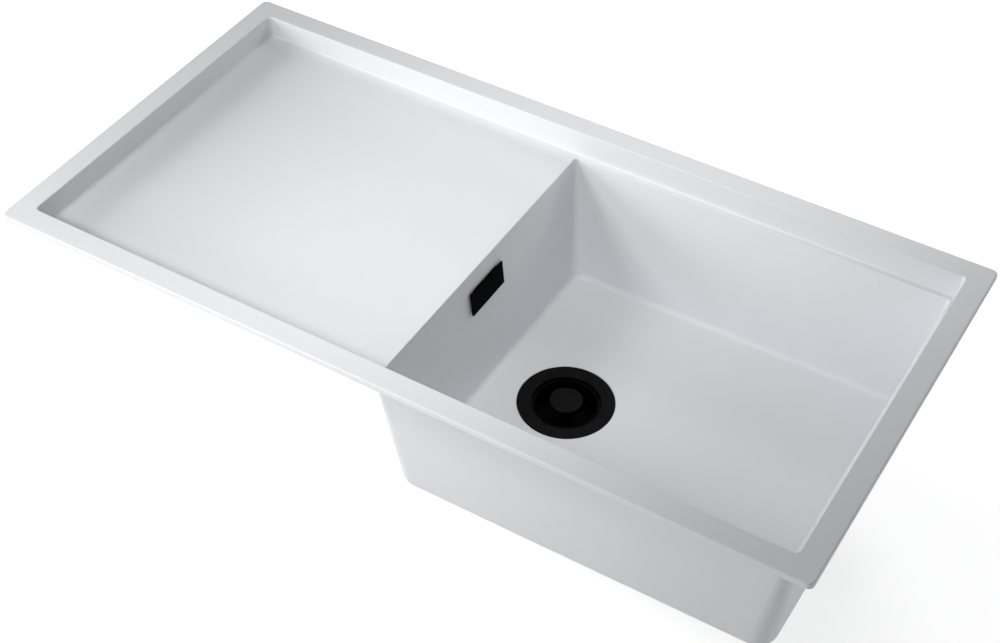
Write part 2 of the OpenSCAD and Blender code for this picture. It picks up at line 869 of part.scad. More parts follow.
function hose_at(s) =
    s < hose_drop_l ?
        [hose_x0 + s * cos(hose_fall), hose_z0 - s * sin(hose_fall), -hose_fall] :
    s < hose_drop_l + hose_arc_l ?
        let (a = -hose_fall + (s - hose_drop_l) / hose_arc_l * hose_fall)
        [hose_x2 + hose_bend_r * sin(a), port_z + hose_bend_r * (1 - cos(a)), a] :
        [hose_x2 + s - hose_drop_l - hose_arc_l, port_z, 0];

// One ring of points round the route
function hose_ring(s, r) =
    let (p = hose_at(s))
    [for (i = [0:hose_sides - 1])
        let (a = i * 360 / hose_sides)
        [p[0] - r * cos(a) * sin(p[2]), mid_y + r * sin(a), p[1] + r * cos(a) * cos(p[2])]];

// Tube of rings: each row is a distance and a radius
function tube_points(rows) = [for (row = rows) each hose_ring(row[0], row[1])];
function tube_faces(rings, base, n, flip) = [
    for (k = [0:rings - 2], i = [0:n - 1])
        let (a = base + k * n + i, b = base + k * n + (i + 1) % n)
        each flip ? [[a, b, a + n], [b, b + n, a + n]] : [[a, a + n, b], [b, a + n, b + n]]
];

module overflow_hose() {
    ribs_from = (hose_l - hose_ribs * rib_pitch) / 2;
    outer = concat(
        [[0, hose_r], [ribs_from, hose_r]],
        [for (i = [0:hose_ribs - 1])
            each [[ribs_from + (i + 0.5) * rib_pitch, hose_r - rib_depth],
                [ribs_from + (i + 1) * rib_pitch, hose_r]]],
        [[hose_l, hose_r]]);
    inner = [for (i = [0:hose_bore_rings]) [hose_l * i / hose_bore_rings, hose_bore_r]];
    n = hose_sides;
    a = len(outer);
    b = len(inner);
    ends = [
        for (i = [0:n - 1])
            let (j = (i + 1) % n, o = a * n, x = (a - 1) * n, y = (a + b - 1) * n)
            each [[i, j, o + i], [j, o + j, o + i], [x + i, y + i, x + j], [x + j, y + i, y + j]]
    ];
    color([0.55, 0.56, 0.58])
    polyhedron(
        points = concat(tube_points(outer), tube_points(inner)),
        faces = concat(tube_faces(a, 0, n, false), tube_faces(b, a * n, n, true), ends));
}

// Compression nut along +X, with the hose's end at the origin and the spigot behind it
module nut() {
    difference() {
        union() {
            translate([-nut_grip, 0, 0]) rotate([0, 90, 0]) cylinder(r = nut_r, h = nut_l);
            for (i = [0:nut_ribs - 1])
                rotate([i * 360 / nut_ribs, 0, 0])
                    translate([-nut_grip, 0, nut_r]) rotate([0, 90, 0])
                    cylinder(r = nut_rib_r, h = nut_l, $fn = 16);
        }
        translate([-nut_grip - cut, 0, 0]) rotate([0, 90, 0])
            cylinder(r = spigot_r + fit_gap, h = nut_l - nut_lip + cut);
        translate([-nut_grip, 0, 0]) rotate([0, 90, 0])
            cylinder(r = hose_r + fit_gap, h = nut_l + cut);
    }
}

// Tapered washer round the hose's end, just past the spigot
module washer() {
    rotate([0, 90, 0])
        rotate_extrude()
        polygon([
            [hose_r + fit_gap, 0],
            [spigot_r - fit_gap, 0],
            [spigot_r - washer_taper, washer_l],
            [hose_r + fit_gap, washer_l],
        ]);
}

// Children at both ends of the hose, with +X leading along the hose from that end
module at_hose_ends() {
    translate([hose_x0, mid_y, hose_z0]) rotate([0, hose_fall, 0]) children();
    translate([hose_x3, mid_y, port_z]) rotate([0, 0, 180]) children();
}

module hose_nuts() {
    color([0.13, 0.13, 0.14]) at_hose_ends() nut();
}

module hose_washers() {
    color("dimgray") at_hose_ends() washer();
}

module fixing_inserts() {
    color("goldenrod")
    for (c = clip_shares)
        at_clip(c) translate([0, 0, boss_z])
            difference() {
                cylinder(r = insert_r, h = insert_l);
                translate([0, 0, -cut]) cylinder(r = screw_r + run_gap, h = insert_l + 2 * cut);
            }
}

module fixing_screws() {
    head_z = clip_top_z - clip_t - clip_gap;
    color("silver")
    for (c = clip_shares)
        at_clip(c)
        difference() {
            union() {
                translate([0, 0, head_z - screw_head_t])
                    cylinder(r = screw_head_r, h = screw_head_t);
                translate([0, 0, head_z - screw_head_t / 2])
                    cylinder(r = screw_r, h = boss_z + insert_l - head_z + screw_head_t / 2);
            }
            translate([0, 0, head_z - screw_head_t - cut])
                cylinder(d = screw_socket_d, h = screw_socket_t + cut, $fn = 6);
        }
}

// Stamped clip: its outer part steps down below the worktop and its tip turns up to grip it
module clip(c) {
    l = clip_reach;
    drop = clip_low_z - clip_top_z;
    tip = clip_tip_z - clip_top_z;
    top = [
        [0, 0],
        [l * clip_step_share, 0],
        [l * clip_low_share, drop],
        [l * clip_rise_share, drop],
        [l * clip_flat_share, tip],
        [l, tip],
    ];
    under = [for (i = [len(top) - 1:-1:0]) [top[i][0], top[i][1] - clip_t]];
    color("silver")
    at_clip(c)
    translate([0, 0, clip_top_z])
    difference() {
        union() {
            translate([0, clip_w / 2, 0]) rotate([90, 0, 0])
                linear_extrude(clip_w) polygon(concat(top, under));
            translate([0, 0, -clip_t]) cylinder(r = clip_w / 2, h = clip_t);
        }
        translate([0, 0, -clip_t - cut]) cylinder(r = screw_r + run_gap, h = clip_t + 2 * cut);
    }
}

module fixing_clip_1() { clip(clip_shares[0]); }
module fixing_clip_2() { clip(clip_shares[1]); }
module fixing_clip_3() { clip(clip_shares[2]); }
module fixing_clip_4() { clip(clip_shares[3]); }
module fixing_clip_5() { clip(clip_shares[4]); }
module fixing_clip_6() { clip(clip_shares[5]); }
module fixing_clip_7() { clip(clip_shares[6]); }
module fixing_clip_8() { clip(clip_shares[7]); }

sink_body();
rim_seal();
waste_flange();
flange_seal();
strainer_basket();
basket_knob();
stopper();
post_clip();
clamp_screw();
clamp_nut();
body_seal();
waste_body();
overflow_cover();
overflow_frame();
overflow_screws();
overflow_seal();
overflow_body();
overflow_hose();
hose_nuts();
hose_washers();
fixing_inserts();
fixing_screws();
fixing_clip_1();
fixing_clip_2();
fixing_clip_3();
fixing_clip_4();
fixing_clip_5();
fixing_clip_6();
fixing_clip_7();
fixing_clip_8();
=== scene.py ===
import math

import bmesh
import bpy
from mathutils import Matrix, Vector


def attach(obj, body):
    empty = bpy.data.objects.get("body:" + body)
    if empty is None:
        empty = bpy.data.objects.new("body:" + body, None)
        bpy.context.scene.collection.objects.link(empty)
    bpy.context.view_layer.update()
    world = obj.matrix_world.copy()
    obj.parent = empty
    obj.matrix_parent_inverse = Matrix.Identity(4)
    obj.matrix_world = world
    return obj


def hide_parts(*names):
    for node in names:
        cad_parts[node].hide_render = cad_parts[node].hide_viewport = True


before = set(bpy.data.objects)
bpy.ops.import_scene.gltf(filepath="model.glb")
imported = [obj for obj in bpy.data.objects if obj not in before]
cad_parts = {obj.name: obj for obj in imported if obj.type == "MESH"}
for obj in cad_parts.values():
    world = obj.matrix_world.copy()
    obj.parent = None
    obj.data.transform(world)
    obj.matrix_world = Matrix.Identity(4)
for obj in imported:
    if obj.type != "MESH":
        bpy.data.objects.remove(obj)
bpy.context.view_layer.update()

# Lengths are in millimetres, in the frame of the CAD model. MM turns them into metres.
MM = 0.001
scene = bpy.context.scene

# Camera
CAMERA_PLACE = (753.2, -993.8, 1310.9)
CAMERA_ELEVATION = 44.557
CAMERA_AZIMUTH = 31.481
CAMERA_LENS = 62.746
CAMERA_SENSOR = 36.0
CAMERA_SHIFT = 0.01137
CAMERA_FAR = 30.0

# Casting
LEFT, RIGHT = -500.0, 500.0
FRONT, BACK = -8.0, 492.0
MIDDLE = 242.0
RIM_TOP, RIM_UNDER = 10.0, 2.0
RIM_WIDTH, RIM_CORNER = 27.5, 7.0
RIM_ROUND, RIM_LOWER_ROUND, UNDER_ROUND = 1.6, 0.8, 3.0
EDGE_ROUND = 1.2
WALL = 9.5
FAR_FLOOR, LEDGE = -19.0, -24.0
RECESS_CORNER, RECESS_COVE = 6.0, 1.8
TRAY_CORNER, TRAY_ROUND = 18.0, 17.5
BOWL_LEFT, BOWL_RIGHT = -12.0, 463.0
BOWL_FRONT, BOWL_BACK = 34.5, 457.5
BOWL_FLOOR = -194.0
BOWL_TOP_R, BOWL_FOOT_R, BOWL_COVE, BOWL_LEAST_R = 4.0, 15.0, 7.0, 0.5
DRAFT = math.radians(5.5)
FLOOR_SLOPE = 5.3 / 475.0
DRAIN_X = 103.0
HOLE_R, POCKET_R, POCKET_DEPTH = 45.0, 58.5, 2.4
PAD_R, PAD_Z, PAD_EDGE = 62.0, -206.147, 2.5

# Steps of the casting's loops and of round pieces
ARC_STEPS = 16
SIDE_STEPS = 4
ROUND_STEPS = 8
WALL_ROWS = 6
LATHE_STEPS = 128
CORNER_STEPS, PLATE_STEPS, EDGE_STEPS, SECTOR_STEPS = 5, 6, 3, 10
HOLE_SIDES, PEG_SIDES, BAR_SIDES, PIPE_SIDES, HUB_SIDES, NUT_SIDES = 20, 24, 32, 48, 64, 6

# How far a cut or a joined part runs past the surface that it meets
OVERRUN = 1.0

# Where a side's marked point lies past its corner, and where the rim's edge rounding starts
SIDE_GAP = 1.5
EDGE_START = 2.0

# Meshes: merging distance in metres, least corner of a plate, and, for roundings of an outline,
# the share of a side that they may take and the half angle from which a corner stays as it is
MERGE = 1e-7
PLATE_LEAST_R = 0.05
REACH_SHARE, STRAIGHT = 0.48, 89.5

# Shading: angle in degrees below which edges are smooth, and how far large faces lead
SMOOTH_ANGLE, SEAL_ANGLE, HOSE_ANGLE = 40.0, 60.0, 50.0
FACE_WEIGHT = 80

# Overflow, in the frame of the bowl's left wall
COVER_Z = -63.8
COVER_W, COVER_H, COVER_CORNER = 68.0, 32.0, 0.8
COVER_BACK, COVER_FRONT, COVER_EDGE = 2.2, 4.0, 0.35
PEG_V, PEG_W, PEG_R, PEG_END, PEG_ROOT, PEG_EDGE = 20.2, -4.5, 1.6, -3.0, 0.9, 0.3
SLOT_W, SLOT_H, SLOT_R = 52.0, 20.0, 4.0
GASKET_T, GASKET_W, GASKET_GAP, GASKET_EDGE = 2.0, 6.0, 0.1, 0.5
BODY_DEPTH, BODY_RISE, BODY_DROP, BODY_SIDE = 28.5, 15.0, 17.0, 6.0
BODY_WALL, BODY_BOSS_R, BODY_BOSS_W, BODY_BOSS_IN = 2.0, 4.0, 4.0, 0.5
BODY_CORNER, BODY_EDGE, ROOM_CORNER = 6.0, 1.6, 4.0
SPIGOT_IN, SPIGOT_L, SPIGOT_R, SPIGOT_BORE = 16.0, 20.0, 12.45, 7.5

# Waste parts, as (radius, height above the bowl floor, rounding) round the drain's axis
FLANGE_OUTLINE = [
    (3.1, -42.0, 0.3), (36.5, -42.0, 2.5), (38.5, -5.0, 0.4), (41.0, -5.0, 0.5), (41.0, 0.0, 1.3),
    (57.3, 0.6, 0.6), (58.0, -0.9, 0.2), (42.5, -0.9, 0.3), (42.5, -6.5, 0.5), (40.0, -6.5, 0.5),
    (38.0, -43.5, 3.0), (3.1, -43.5, 0.3),
]
BASKET_OUTLINE = [
    (3.05, -24.7, 0.2), (33.0, -24.7, 1.2), (37.9, -4.7, 0.3), (40.7, -4.7, 0.4), (40.7, -3.2, 0.5),
    (36.7, -3.2, 0.5), (31.8, -23.5, 1.0), (6.0, -23.5, 0.4), (5.4, -15.7, 0.3), (3.05, -15.7, 0.2),
]
KNOB_OUTLINE = [
    (0.0, -32.64, 0.0), (3.0, -32.64, 0.4), (3.0, -6.5, 0.6), (8.0, -6.5, 0.6), (8.0, -3.0, 0.5),
    (20.0, -3.0, 1.2), (20.0, 4.0, 1.8), (0.0, 4.0, 0.0),
]
STOPPER_OUTLINE = [
    (3.05, -31.2, 0.2), (9.0, -31.2, 0.5), (9.0, -35.7, 0.3), (27.0, -35.7, 0.6), (27.0, -31.95, 0.8),
    (9.0, -28.2, 1.0), (3.05, -28.2, 0.3),
]
FLANGE_SEAL_OUTLINE = [(45.0, -2.4, 0.2), (56.5, -2.4, 0.2), (56.5, -1.0, 0.2), (45.0, -1.0, 0.2)]
BODY_SEAL_OUTLINE = [
    (46.5, -14.647, 0.6), (59.0, -14.647, 0.6), (59.0, -12.147, 0.6), (46.5, -12.147, 0.6),
]
WASHER_OUTLINE = [(11.1, 0.0, 0.2), (12.35, 0.0, 0.2), (11.45, 5.0, 0.2), (11.1, 5.0, 0.1)]
SLOT_COUNT, SLOT_ANGLE, SLOT_IN, SLOT_OUT = 8, 26.0, 13.0, 24.0
NOTCH_COUNT, NOTCH_ANGLE, NOTCH_START, NOTCH_IN, NOTCH_OUT = 6, 34.0, 13.0, 38.3, 42.0
SLOT_CUT, NOTCH_CUT, HOLE_CUT = (-46.0, -40.0), (-6.0, -2.0), (-26.0, -22.0)
HOLE_RINGS, HOLE_FIRST, HOLE_GAP, HOLE_D, HOLE_SHARE = 3, 11.5, 7.0, 3.6, 0.46

# Waste body
BODY_OUTLINE = [
    (0.0, -14.647, 0.0), (59.0, -14.647, 0.5), (59.0, -18.647, 0.8), (49.5, -18.647, 1.0),
    (49.5, -60.647, 2.5), (23.9, -73.647, 1.5), (22.5, -73.8, 0.0), (0.0, -73.8, 0.0),
]
BODY_HOLLOW = [
    (0.0, -13.0, 0.0), (46.5, -13.0, 0.0), (46.5, -60.647, 2.0), (20.0, -70.647, 1.0),
    (20.0, -94.0, 0.0), (0.0, -94.0, 0.0),
]
OUTLET_R, OUTLET_TOP, OUTLET_END = 23.9, -73.5, -92.647
THREAD_DEPTH, THREAD_PITCH, THREAD_SIDES, THREAD_ROWS = 0.9, 2.3, 72, 8
THREAD_START, THREAD_FINISH, THREAD_SHAPE = 4.0, 12.0, 0.7
BODY_R, GUSSET_COUNT, GUSSET_T = 49.5, 8, 3.0
GUSSET_IN, GUSSET_OUT, GUSSET_LOW, GUSSET_TOP = 40.0, 56.0, -25.647, -16.0
HUB_R, HUB_TOP, HUB_LOW, HUB_EDGE = 10.0, -50.5, -64.5, 0.6
HUB_RIB_T, HUB_RIB_LOW, HUB_RIB_DROP, HUB_RIB_IN, HUB_RIB_OUT = 4.0, -59.5, 0.2, 5.0, 48.0
HUB_BORE_R, HUB_NUT_R, HUB_NUT_LOW, HUB_RIBS = 3.1, 6.6, -56.5, 3
PORT_Z, PORT_ROOT, PORT_BORE_IN = -232.0, 3.0, 40.0

# Overflow hose
HOSE_R, HOSE_BORE, HOSE_BEND, HOSE_CUFF = 11.0, 7.5, 34.0, 22.0
RIB_PITCH, RIB_DEPTH, RIB_STEPS, RIB_SHAPE, HOSE_SIDES, BORE_ROWS = 5.0, 1.7, 10, 0.8, 40, 60

# Clips under the rim: distance from the rim's edge, place and the direction of their side
BOSS_LOW, BOSS_TOP, BOSS_R, BOSS_WEB_T, BOSS_WEB_L = -36.0, 6.0, 6.0, 8.0, 9.0
TRAY_BOSS_TOP, TRAY_BOSS_R = -26.25, 9.0
BOSS_EDGE, BOSS_WEB_IN = 0.8, 0.4
INSERT_R, INSERT_DEPTH = 3.6, 8.2
TRAY_INSET, BOWL_INSET = 48.0, 18.5
CLIP_REACH, CLIP_W, CLIP_T, CLIP_TOP = 54.0, 14.0, 2.5, -36.2
CLIP_DROP, CLIP_TIP, CLIP_HOLE = -3.7, -2.1, 2.55
CLIP_BENDS = (0.22, 0.31, 0.83, 0.91)
CLIP_BEND_R, CLIP_FOOT_R, CLIP_EDGE = 4.0, 1.5, 0.3
CLIP_BEVEL, CLIP_BEVEL_STEPS, CLIP_BEVEL_ANGLE = 0.3, 2, 50.0
TRAY_RUN = (LEFT + TRAY_INSET + CLIP_REACH, BOWL_LEFT - WALL - CLIP_W - CLIP_REACH)
CLIPS = [
    (TRAY_INSET, 0.20, 270), (TRAY_INSET, 0.96, 270), (TRAY_INSET, 0.32, 90),
    (BOWL_INSET, 0.24, 90), (BOWL_INSET, 0.78, 90), (TRAY_INSET, 0.50, 180),
    (BOWL_INSET, 0.30, 0), (BOWL_INSET, 0.72, 0),
]

# Foam strip
SEAL_INSET, SEAL_W, SEAL_T, SEAL_CORNER = 4.0, 8.0, 2.0, 2.0
SEAL_LOW_EDGE, SEAL_TOP_EDGE = 0.4, 0.1


def make_object(name, mesh):
    obj = bpy.data.objects.new(name, mesh)
    scene.collection.objects.link(obj)
    return obj


def mesh_object(name, points, faces):
    """An object from points in millimetres and faces, with its normals turned outwards."""
    mesh = bpy.data.meshes.new(name)
    mesh.from_pydata([[c * MM for c in p] for p in points], [], faces)
    work = bmesh.new()
    work.from_mesh(mesh)
    bmesh.ops.remove_doubles(work, verts=work.verts, dist=MERGE)
    bmesh.ops.recalc_face_normals(work, faces=work.faces)
    work.to_mesh(mesh)
    work.free()
    return make_object(name, mesh)


def apply_modifiers(obj):
    """Replaces the object's mesh by what its modifiers make of it."""
    depsgraph = bpy.context.evaluated_depsgraph_get()
    depsgraph.update()
    made = bpy.data.meshes.new_from_object(obj.evaluated_get(depsgraph))
    obj.modifiers.clear()
    old = obj.data
    obj.data = made
    bpy.data.meshes.remove(old)
    return obj


def remove_object(obj):
    mesh = obj.data
    bpy.data.objects.remove(obj)
    bpy.data.meshes.remove(mesh)


def combine(obj, others, operation):
    """Joins closed solids to obj (UNION) or cuts them away (DIFFERENCE), and deletes them."""
    for other in others:
        modifier = obj.modifiers.new("boolean", "BOOLEAN")
        modifier.operation = operation
        modifier.solver = "EXACT"
        modifier.object = other
        apply_modifiers(obj)
        remove_object(other)
    return obj


def smooth(obj, angle=SMOOTH_ANGLE):
    """Shades smooth, keeps edges sharper than the angle, and lets large faces lead the normals."""
    mesh = obj.data
    mesh.polygons.foreach_set("use_smooth", [True] * len(mesh.polygons))
    work = bmesh.new()
    work.from_mesh(mesh)
    limit = math.radians(angle)
    for edge in work.edges:
        edge.smooth = len(edge.link_faces) == 2 and edge.calc_face_angle(0.0) < limit
    work.to_mesh(mesh)
    work.free()
    weighted = obj.modifiers.new("weighted", "WEIGHTED_NORMAL")
    weighted.keep_sharp = True
    weighted.weight = FACE_WEIGHT
    return obj


def finish_piece(obj, body, material, nodes=(), angle=SMOOTH_ANGLE):
    """Shades a piece, gives it its material, ties it to its CAD body, and hides the CAD nodes that it
    replaces.
    """
    smooth(obj, angle)
    obj.data.materials.clear()
    obj.data.materials.append(material)
    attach(obj, body)
    if nodes:
        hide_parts(*nodes)
    return obj


def place(obj, matrix):
    """Moves the object's points by a matrix whose shift is in millimetres."""
    shift = Matrix.Translation(matrix.to_translation() * MM)
    obj.data.transform(shift @ matrix.to_3x3().to_4x4())
    return obj


# Camera
camera = make_object("camera", bpy.data.cameras.new("camera"))
camera.location = [c * MM for c in CAMERA_PLACE]
camera.rotation_euler = (math.radians(90.0 - CAMERA_ELEVATION), 0.0, math.radians(CAMERA_AZIMUTH))
camera.data.lens = CAMERA_LENS
camera.data.sensor_width = CAMERA_SENSOR
camera.data.shift_x = CAMERA_SHIFT
camera.data.clip_end = CAMERA_FAR
scene.camera = camera


# Loops of the casting
def side(a, b, via):
    """Points between a and b, without the ends, with one of them at via."""
    first = [a + (via - a) * i / SIDE_STEPS for i in range(1, SIDE_STEPS + 1)]
    last = [via + (b - via) * i / SIDE_STEPS for i in range(1, SIDE_STEPS)]
    return first + last


def loop(x0, x1, y0, y1, r, height, via=None):
    """Points of a round-cornered rectangle, anticlockwise from its right end's back corner.
    height is a level or a function of x. The front and back sides have a point at x = via."""
    via = x0 + r + SIDE_GAP if via is None else via
    level = height if callable(height) else lambda x: height
    middle = (y0 + y1) / 2
    across = side(x0 + r, x1 - r, via)
    along = side(y0 + r, y1 - r, middle)
    sides = [
        [(x, y1) for x in reversed(across)],
        [(x0, y) for y in reversed(along)],
        [(x, y0) for x in across],
        [(x1, y) for y in along],
    ]
    centres = [(x1 - r, y1 - r), (x0 + r, y1 - r), (x0 + r, y0 + r), (x1 - r, y0 + r)]
    flat = []
    for k, (cx, cy) in enumerate(centres):
        for i in range(ARC_STEPS + 1):
            a = math.radians(90.0 * (k + i / ARC_STEPS))
            flat.append((cx + r * math.cos(a), cy + r * math.sin(a)))
        flat += sides[k]
    return [(x, y, level(x)) for (x, y) in flat]


SIDE_POINTS = 2 * SIDE_STEPS - 1
LOOP_POINTS = 4 * (ARC_STEPS + 1 + SIDE_POINTS)


def circle_loop(cx, cy, r, height):
    """Circle with as many points as a loop, from the same corner on."""
    level = height if callable(height) else lambda x: height
    start = math.pi / 4 - math.pi * ARC_STEPS / LOOP_POINTS
    points = []
    for i in range(LOOP_POINTS):
        a = start + 2 * math.pi * i / LOOP_POINTS
        x = cx + r * math.cos(a)
        points.append((x, cy + r * math.sin(a), level(x)))
    return points


def strip_cap(base):
    """Faces that close a loop by strips between its back and its front side."""
    mirror = LOOP_POINTS - SIDE_POINTS - 1
    last = mirror // 2 - SIDE_POINTS // 2 - 1
    right = [0, 1] + list(range(mirror - 1, LOOP_POINTS))
    left = list(range(last - 1, mirror - last + 2))
    faces = [right, left]
    for i in range(1, last - 1):
        faces.append([i, i + 1, mirror - 1 - i, mirror - i])
    return [tuple(base + i for i in face) for face in faces]


def loft(name, loops, strips=False):
    """Closed solid through loops that all have the same number of points."""
    n = len(loops[0])
    points = [p for one in loops for p in one]
    faces = [tuple(range(n))]
    for k in range(len(loops) - 1):
        for i in range(n):
            a, b = k * n + i, k * n + (i + 1) % n
            faces.append((a, b, b + n, a + n))
    end = (len(loops) - 1) * n
    faces += strip_cap(end) if strips else [tuple(end + i for i in range(n))]
    return mesh_object(name, points, faces)


def turns(steps, first=0.0, last=90.0):
    """Angles of a rounding, in radians."""
    return [math.radians(first + (last - first) * i / steps) for i in range(steps + 1)]


def recess_floor(x):
    far = LEFT + RIM_WIDTH
    return FAR_FLOOR + (LEDGE - FAR_FLOOR) * min((x - far) / (BOWL_LEFT - far), 1.0)


def bowl_floor(x):
    return BOWL_FLOOR + (x - DRAIN_X) * FLOOR_SLOPE


def wall_inset(z):
    return (LEDGE - z) * math.tan(DRAFT)


def rim_loop(inset, height, corner):
    """Loop round the sink, inset from its outer edge."""
    return loop(LEFT + inset, RIGHT - inset, FRONT + inset, BACK - inset, corner, height, BOWL_LEFT)


def bowl_loop(inset, height, corner):
    """Loop of the bowl, inset from its top edge."""
    return loop(BOWL_LEFT + inset, BOWL_RIGHT - inset, BOWL_FRONT + inset, BOWL_BACK - inset,
                corner, height)


def bowl_wall_loops(grow, cove, z_top):
    """Loops of the bowl's wall and its rounding into the floor, grown outwards by grow."""
    low = BOWL_FLOOR - grow + cove
    centre = wall_inset(low) - grow + cove / math.cos(DRAFT)
    corner_centre = wall_inset(low) + BOWL_FOOT_R
    tangent = centre - cove * math.cos(DRAFT)
    top_inset = wall_inset(z_top) - grow
    top_corner = BOWL_TOP_R + grow
    loops = []
    for i in range(WALL_ROWS):
        t = i / WALL_ROWS
        inset = top_inset + (tangent - top_inset) * t
        corner = top_corner + (corner_centre - tangent - top_corner) * t

        def level(x, t=t):
            foot = bowl_floor(x) - grow + cove - cove * math.sin(DRAFT)
            return z_top + (foot - z_top) * t

        loops.append(bowl_loop(inset, level, corner))
    for a in turns(ROUND_STEPS, math.degrees(DRAFT)):
        inset = centre - cove * math.cos(a)

        def level(x, a=a):
            return bowl_floor(x) - grow + cove - cove * math.sin(a)

        loops.append(bowl_loop(inset, level, max(corner_centre - inset, BOWL_LEAST_R)))
    return loops


def hollow():
    """The space inside the sink: recess, bowl, drain pocket and drain hole."""
    corner = RECESS_CORNER + RIM_WIDTH
    loops = [rim_loop(RIM_WIDTH - EDGE_ROUND, RIM_TOP + 3 * OVERRUN, RECESS_CORNER + EDGE_ROUND)]
    for a in turns(ROUND_STEPS, EDGE_START):
        inset = RIM_WIDTH - EDGE_ROUND * (1 - math.sin(a))
        loops.append(rim_loop(inset, RIM_TOP - EDGE_ROUND * (1 - math.cos(a)), corner - inset))
    for a in turns(ROUND_STEPS):
        inset = RIM_WIDTH + RECESS_COVE * (1 - math.cos(a))
        rise = RECESS_COVE * (1 - math.sin(a))
        loops.append(rim_loop(inset, lambda x, rise=rise: recess_floor(x) + rise, corner - inset))
    for a in turns(ROUND_STEPS):
        inset = -EDGE_ROUND * (1 - math.sin(a))
        loops.append(bowl_loop(inset, LEDGE - EDGE_ROUND * (1 - math.cos(a)), BOWL_TOP_R - inset))
    loops += bowl_wall_loops(0.0, BOWL_COVE, LEDGE - EDGE_ROUND)[1:]
    loops.append(circle_loop(DRAIN_X, MIDDLE, POCKET_R, bowl_floor))
    loops.append(circle_loop(DRAIN_X, MIDDLE, POCKET_R, BOWL_FLOOR - POCKET_DEPTH))
    loops.append(circle_loop(DRAIN_X, MIDDLE, HOLE_R, BOWL_FLOOR - POCKET_DEPTH))
    loops.append(circle_loop(DRAIN_X, MIDDLE, HOLE_R, PAD_Z - 5 * OVERRUN))
    return loft("hollow", loops)


def outside():
    """The rim and the tray under it, as a full block."""
    loops = []
    for a in turns(ROUND_STEPS):
        inset = RIM_ROUND * (1 - math.sin(a))
        z = RIM_TOP - RIM_ROUND * (1 - math.cos(a))
        loops.append(rim_loop(inset, z, RIM_CORNER - inset))
    for a in turns(ROUND_STEPS // 2):
        inset = RIM_LOWER_ROUND * (1 - math.cos(a))
        z = RIM_UNDER + RIM_LOWER_ROUND * (1 - math.sin(a))
        loops.append(rim_loop(inset, z, RIM_CORNER - inset))
    tray = RIM_WIDTH - WALL
    for a in turns(ROUND_STEPS // 2):
        inset = tray - UNDER_ROUND * (1 - math.sin(a))
        z = RIM_UNDER - UNDER_ROUND * (1 - math.cos(a))
        loops.append(rim_loop(inset, z, TRAY_CORNER + tray - inset))
    for a in turns(2 * ROUND_STEPS):
        inset = tray + TRAY_ROUND * (1 - math.cos(a))
        rise = TRAY_ROUND * (1 - math.sin(a)) - WALL
        level = lambda x, rise=rise: recess_floor(x) + rise
        loops.append(rim_loop(inset, level, TRAY_CORNER + tray - inset))
    return loft("sink", loops, strips=True)


def bowl_outside():
    return loft("bowl_outside", bowl_wall_loops(WALL, BOWL_COVE + WALL, RIM_UNDER - OVERRUN))


def soften(corners, steps=CORNER_STEPS):
    """Closed outline whose corners, given as (x, y, radius), are rounded."""
    points = []
    for i, (x, y, radius) in enumerate(corners):
        here = Vector((x, y))
        before = Vector(corners[i - 1][:2]) - here
        after = Vector(corners[(i + 1) % len(corners)][:2]) - here
        half = before.angle(after) / 2
        if radius == 0 or half > math.radians(STRAIGHT):
            points.append((x, y))
            continue
        room = REACH_SHARE * min(before.length, after.length)
        reach = min(radius / math.tan(half), room)
        radius = reach * math.tan(half)
        middle = (before.normalized() + after.normalized()).normalized()
        centre = here + middle * (radius / math.sin(half))
        arm = here + before.normalized() * reach - centre
        last = here + after.normalized() * reach - centre
        sweep = math.copysign(math.pi - 2 * half, arm.x * last.y - arm.y * last.x)
        for k in range(steps + 1):
            a = sweep * k / steps
            points.append((
                centre.x + arm.x * math.cos(a) - arm.y * math.sin(a),
                centre.y + arm.x * math.sin(a) + arm.y * math.cos(a),
            ))
    return points


def ring(name, loops):
    """Closed ring: each loop joins the next, and the last one joins the first."""
    n = len(loops[0])
    points = [p for one in loops for p in one]
    faces = []
    for k in range(len(loops)):
        a, b = k * n, (k + 1) % len(loops) * n
        for i in range(n):
            j = (i + 1) % n
            faces.append((a + i, a + j, b + j, b + i))
    return mesh_object(name, points, faces)


def lathe(name, corners, steps=LATHE_STEPS):
    """Round solid from a closed outline of (radius, height, rounding), about the Z axis."""
    outline = soften(corners)
    loops = []
    for i in range(steps):
        a = 2 * math.pi * i / steps
        loops.append([(r * math.cos(a), r * math.sin(a), z) for (r, z) in outline])
    return ring(name, loops)


def bar(name, r, z0, z1, steps=BAR_SIDES, edge=0.0):
    """Round bar along Z."""
    return lathe(name, [(0, z0, 0), (r, z0, edge), (r, z1, edge), (0, z1, 0)], steps)


def prism(name, outline, z0, z1):
    """Solid on a closed flat outline, from z0 to z1."""
    return loft(name, [[(x, y, z) for (x, y) in outline] for z in (z0, z1)])


def box_between(name, x0, x1, y0, y1, z0, z1):
    return prism(name, [(x0, y0), (x1, y0), (x1, y1), (x0, y1)], z0, z1)


def circle(r, steps, cx=0.0, cy=0.0, start=0.0):
    angles = [start + 2 * math.pi * i / steps for i in range(steps)]
    return [(cx + r * math.cos(a), cy + r * math.sin(a)) for a in angles]


def sector(r0, r1, start, sweep, steps=SECTOR_STEPS):
    """Outline of a piece of a flat ring, with its angles in degrees."""
    angles = [math.radians(start + sweep * i / steps) for i in range(steps + 1)]
    outer = [(r1 * math.cos(a), r1 * math.sin(a)) for a in angles]
    inner = [(r0 * math.cos(a), r0 * math.sin(a)) for a in reversed(angles)]
    return outer + inner


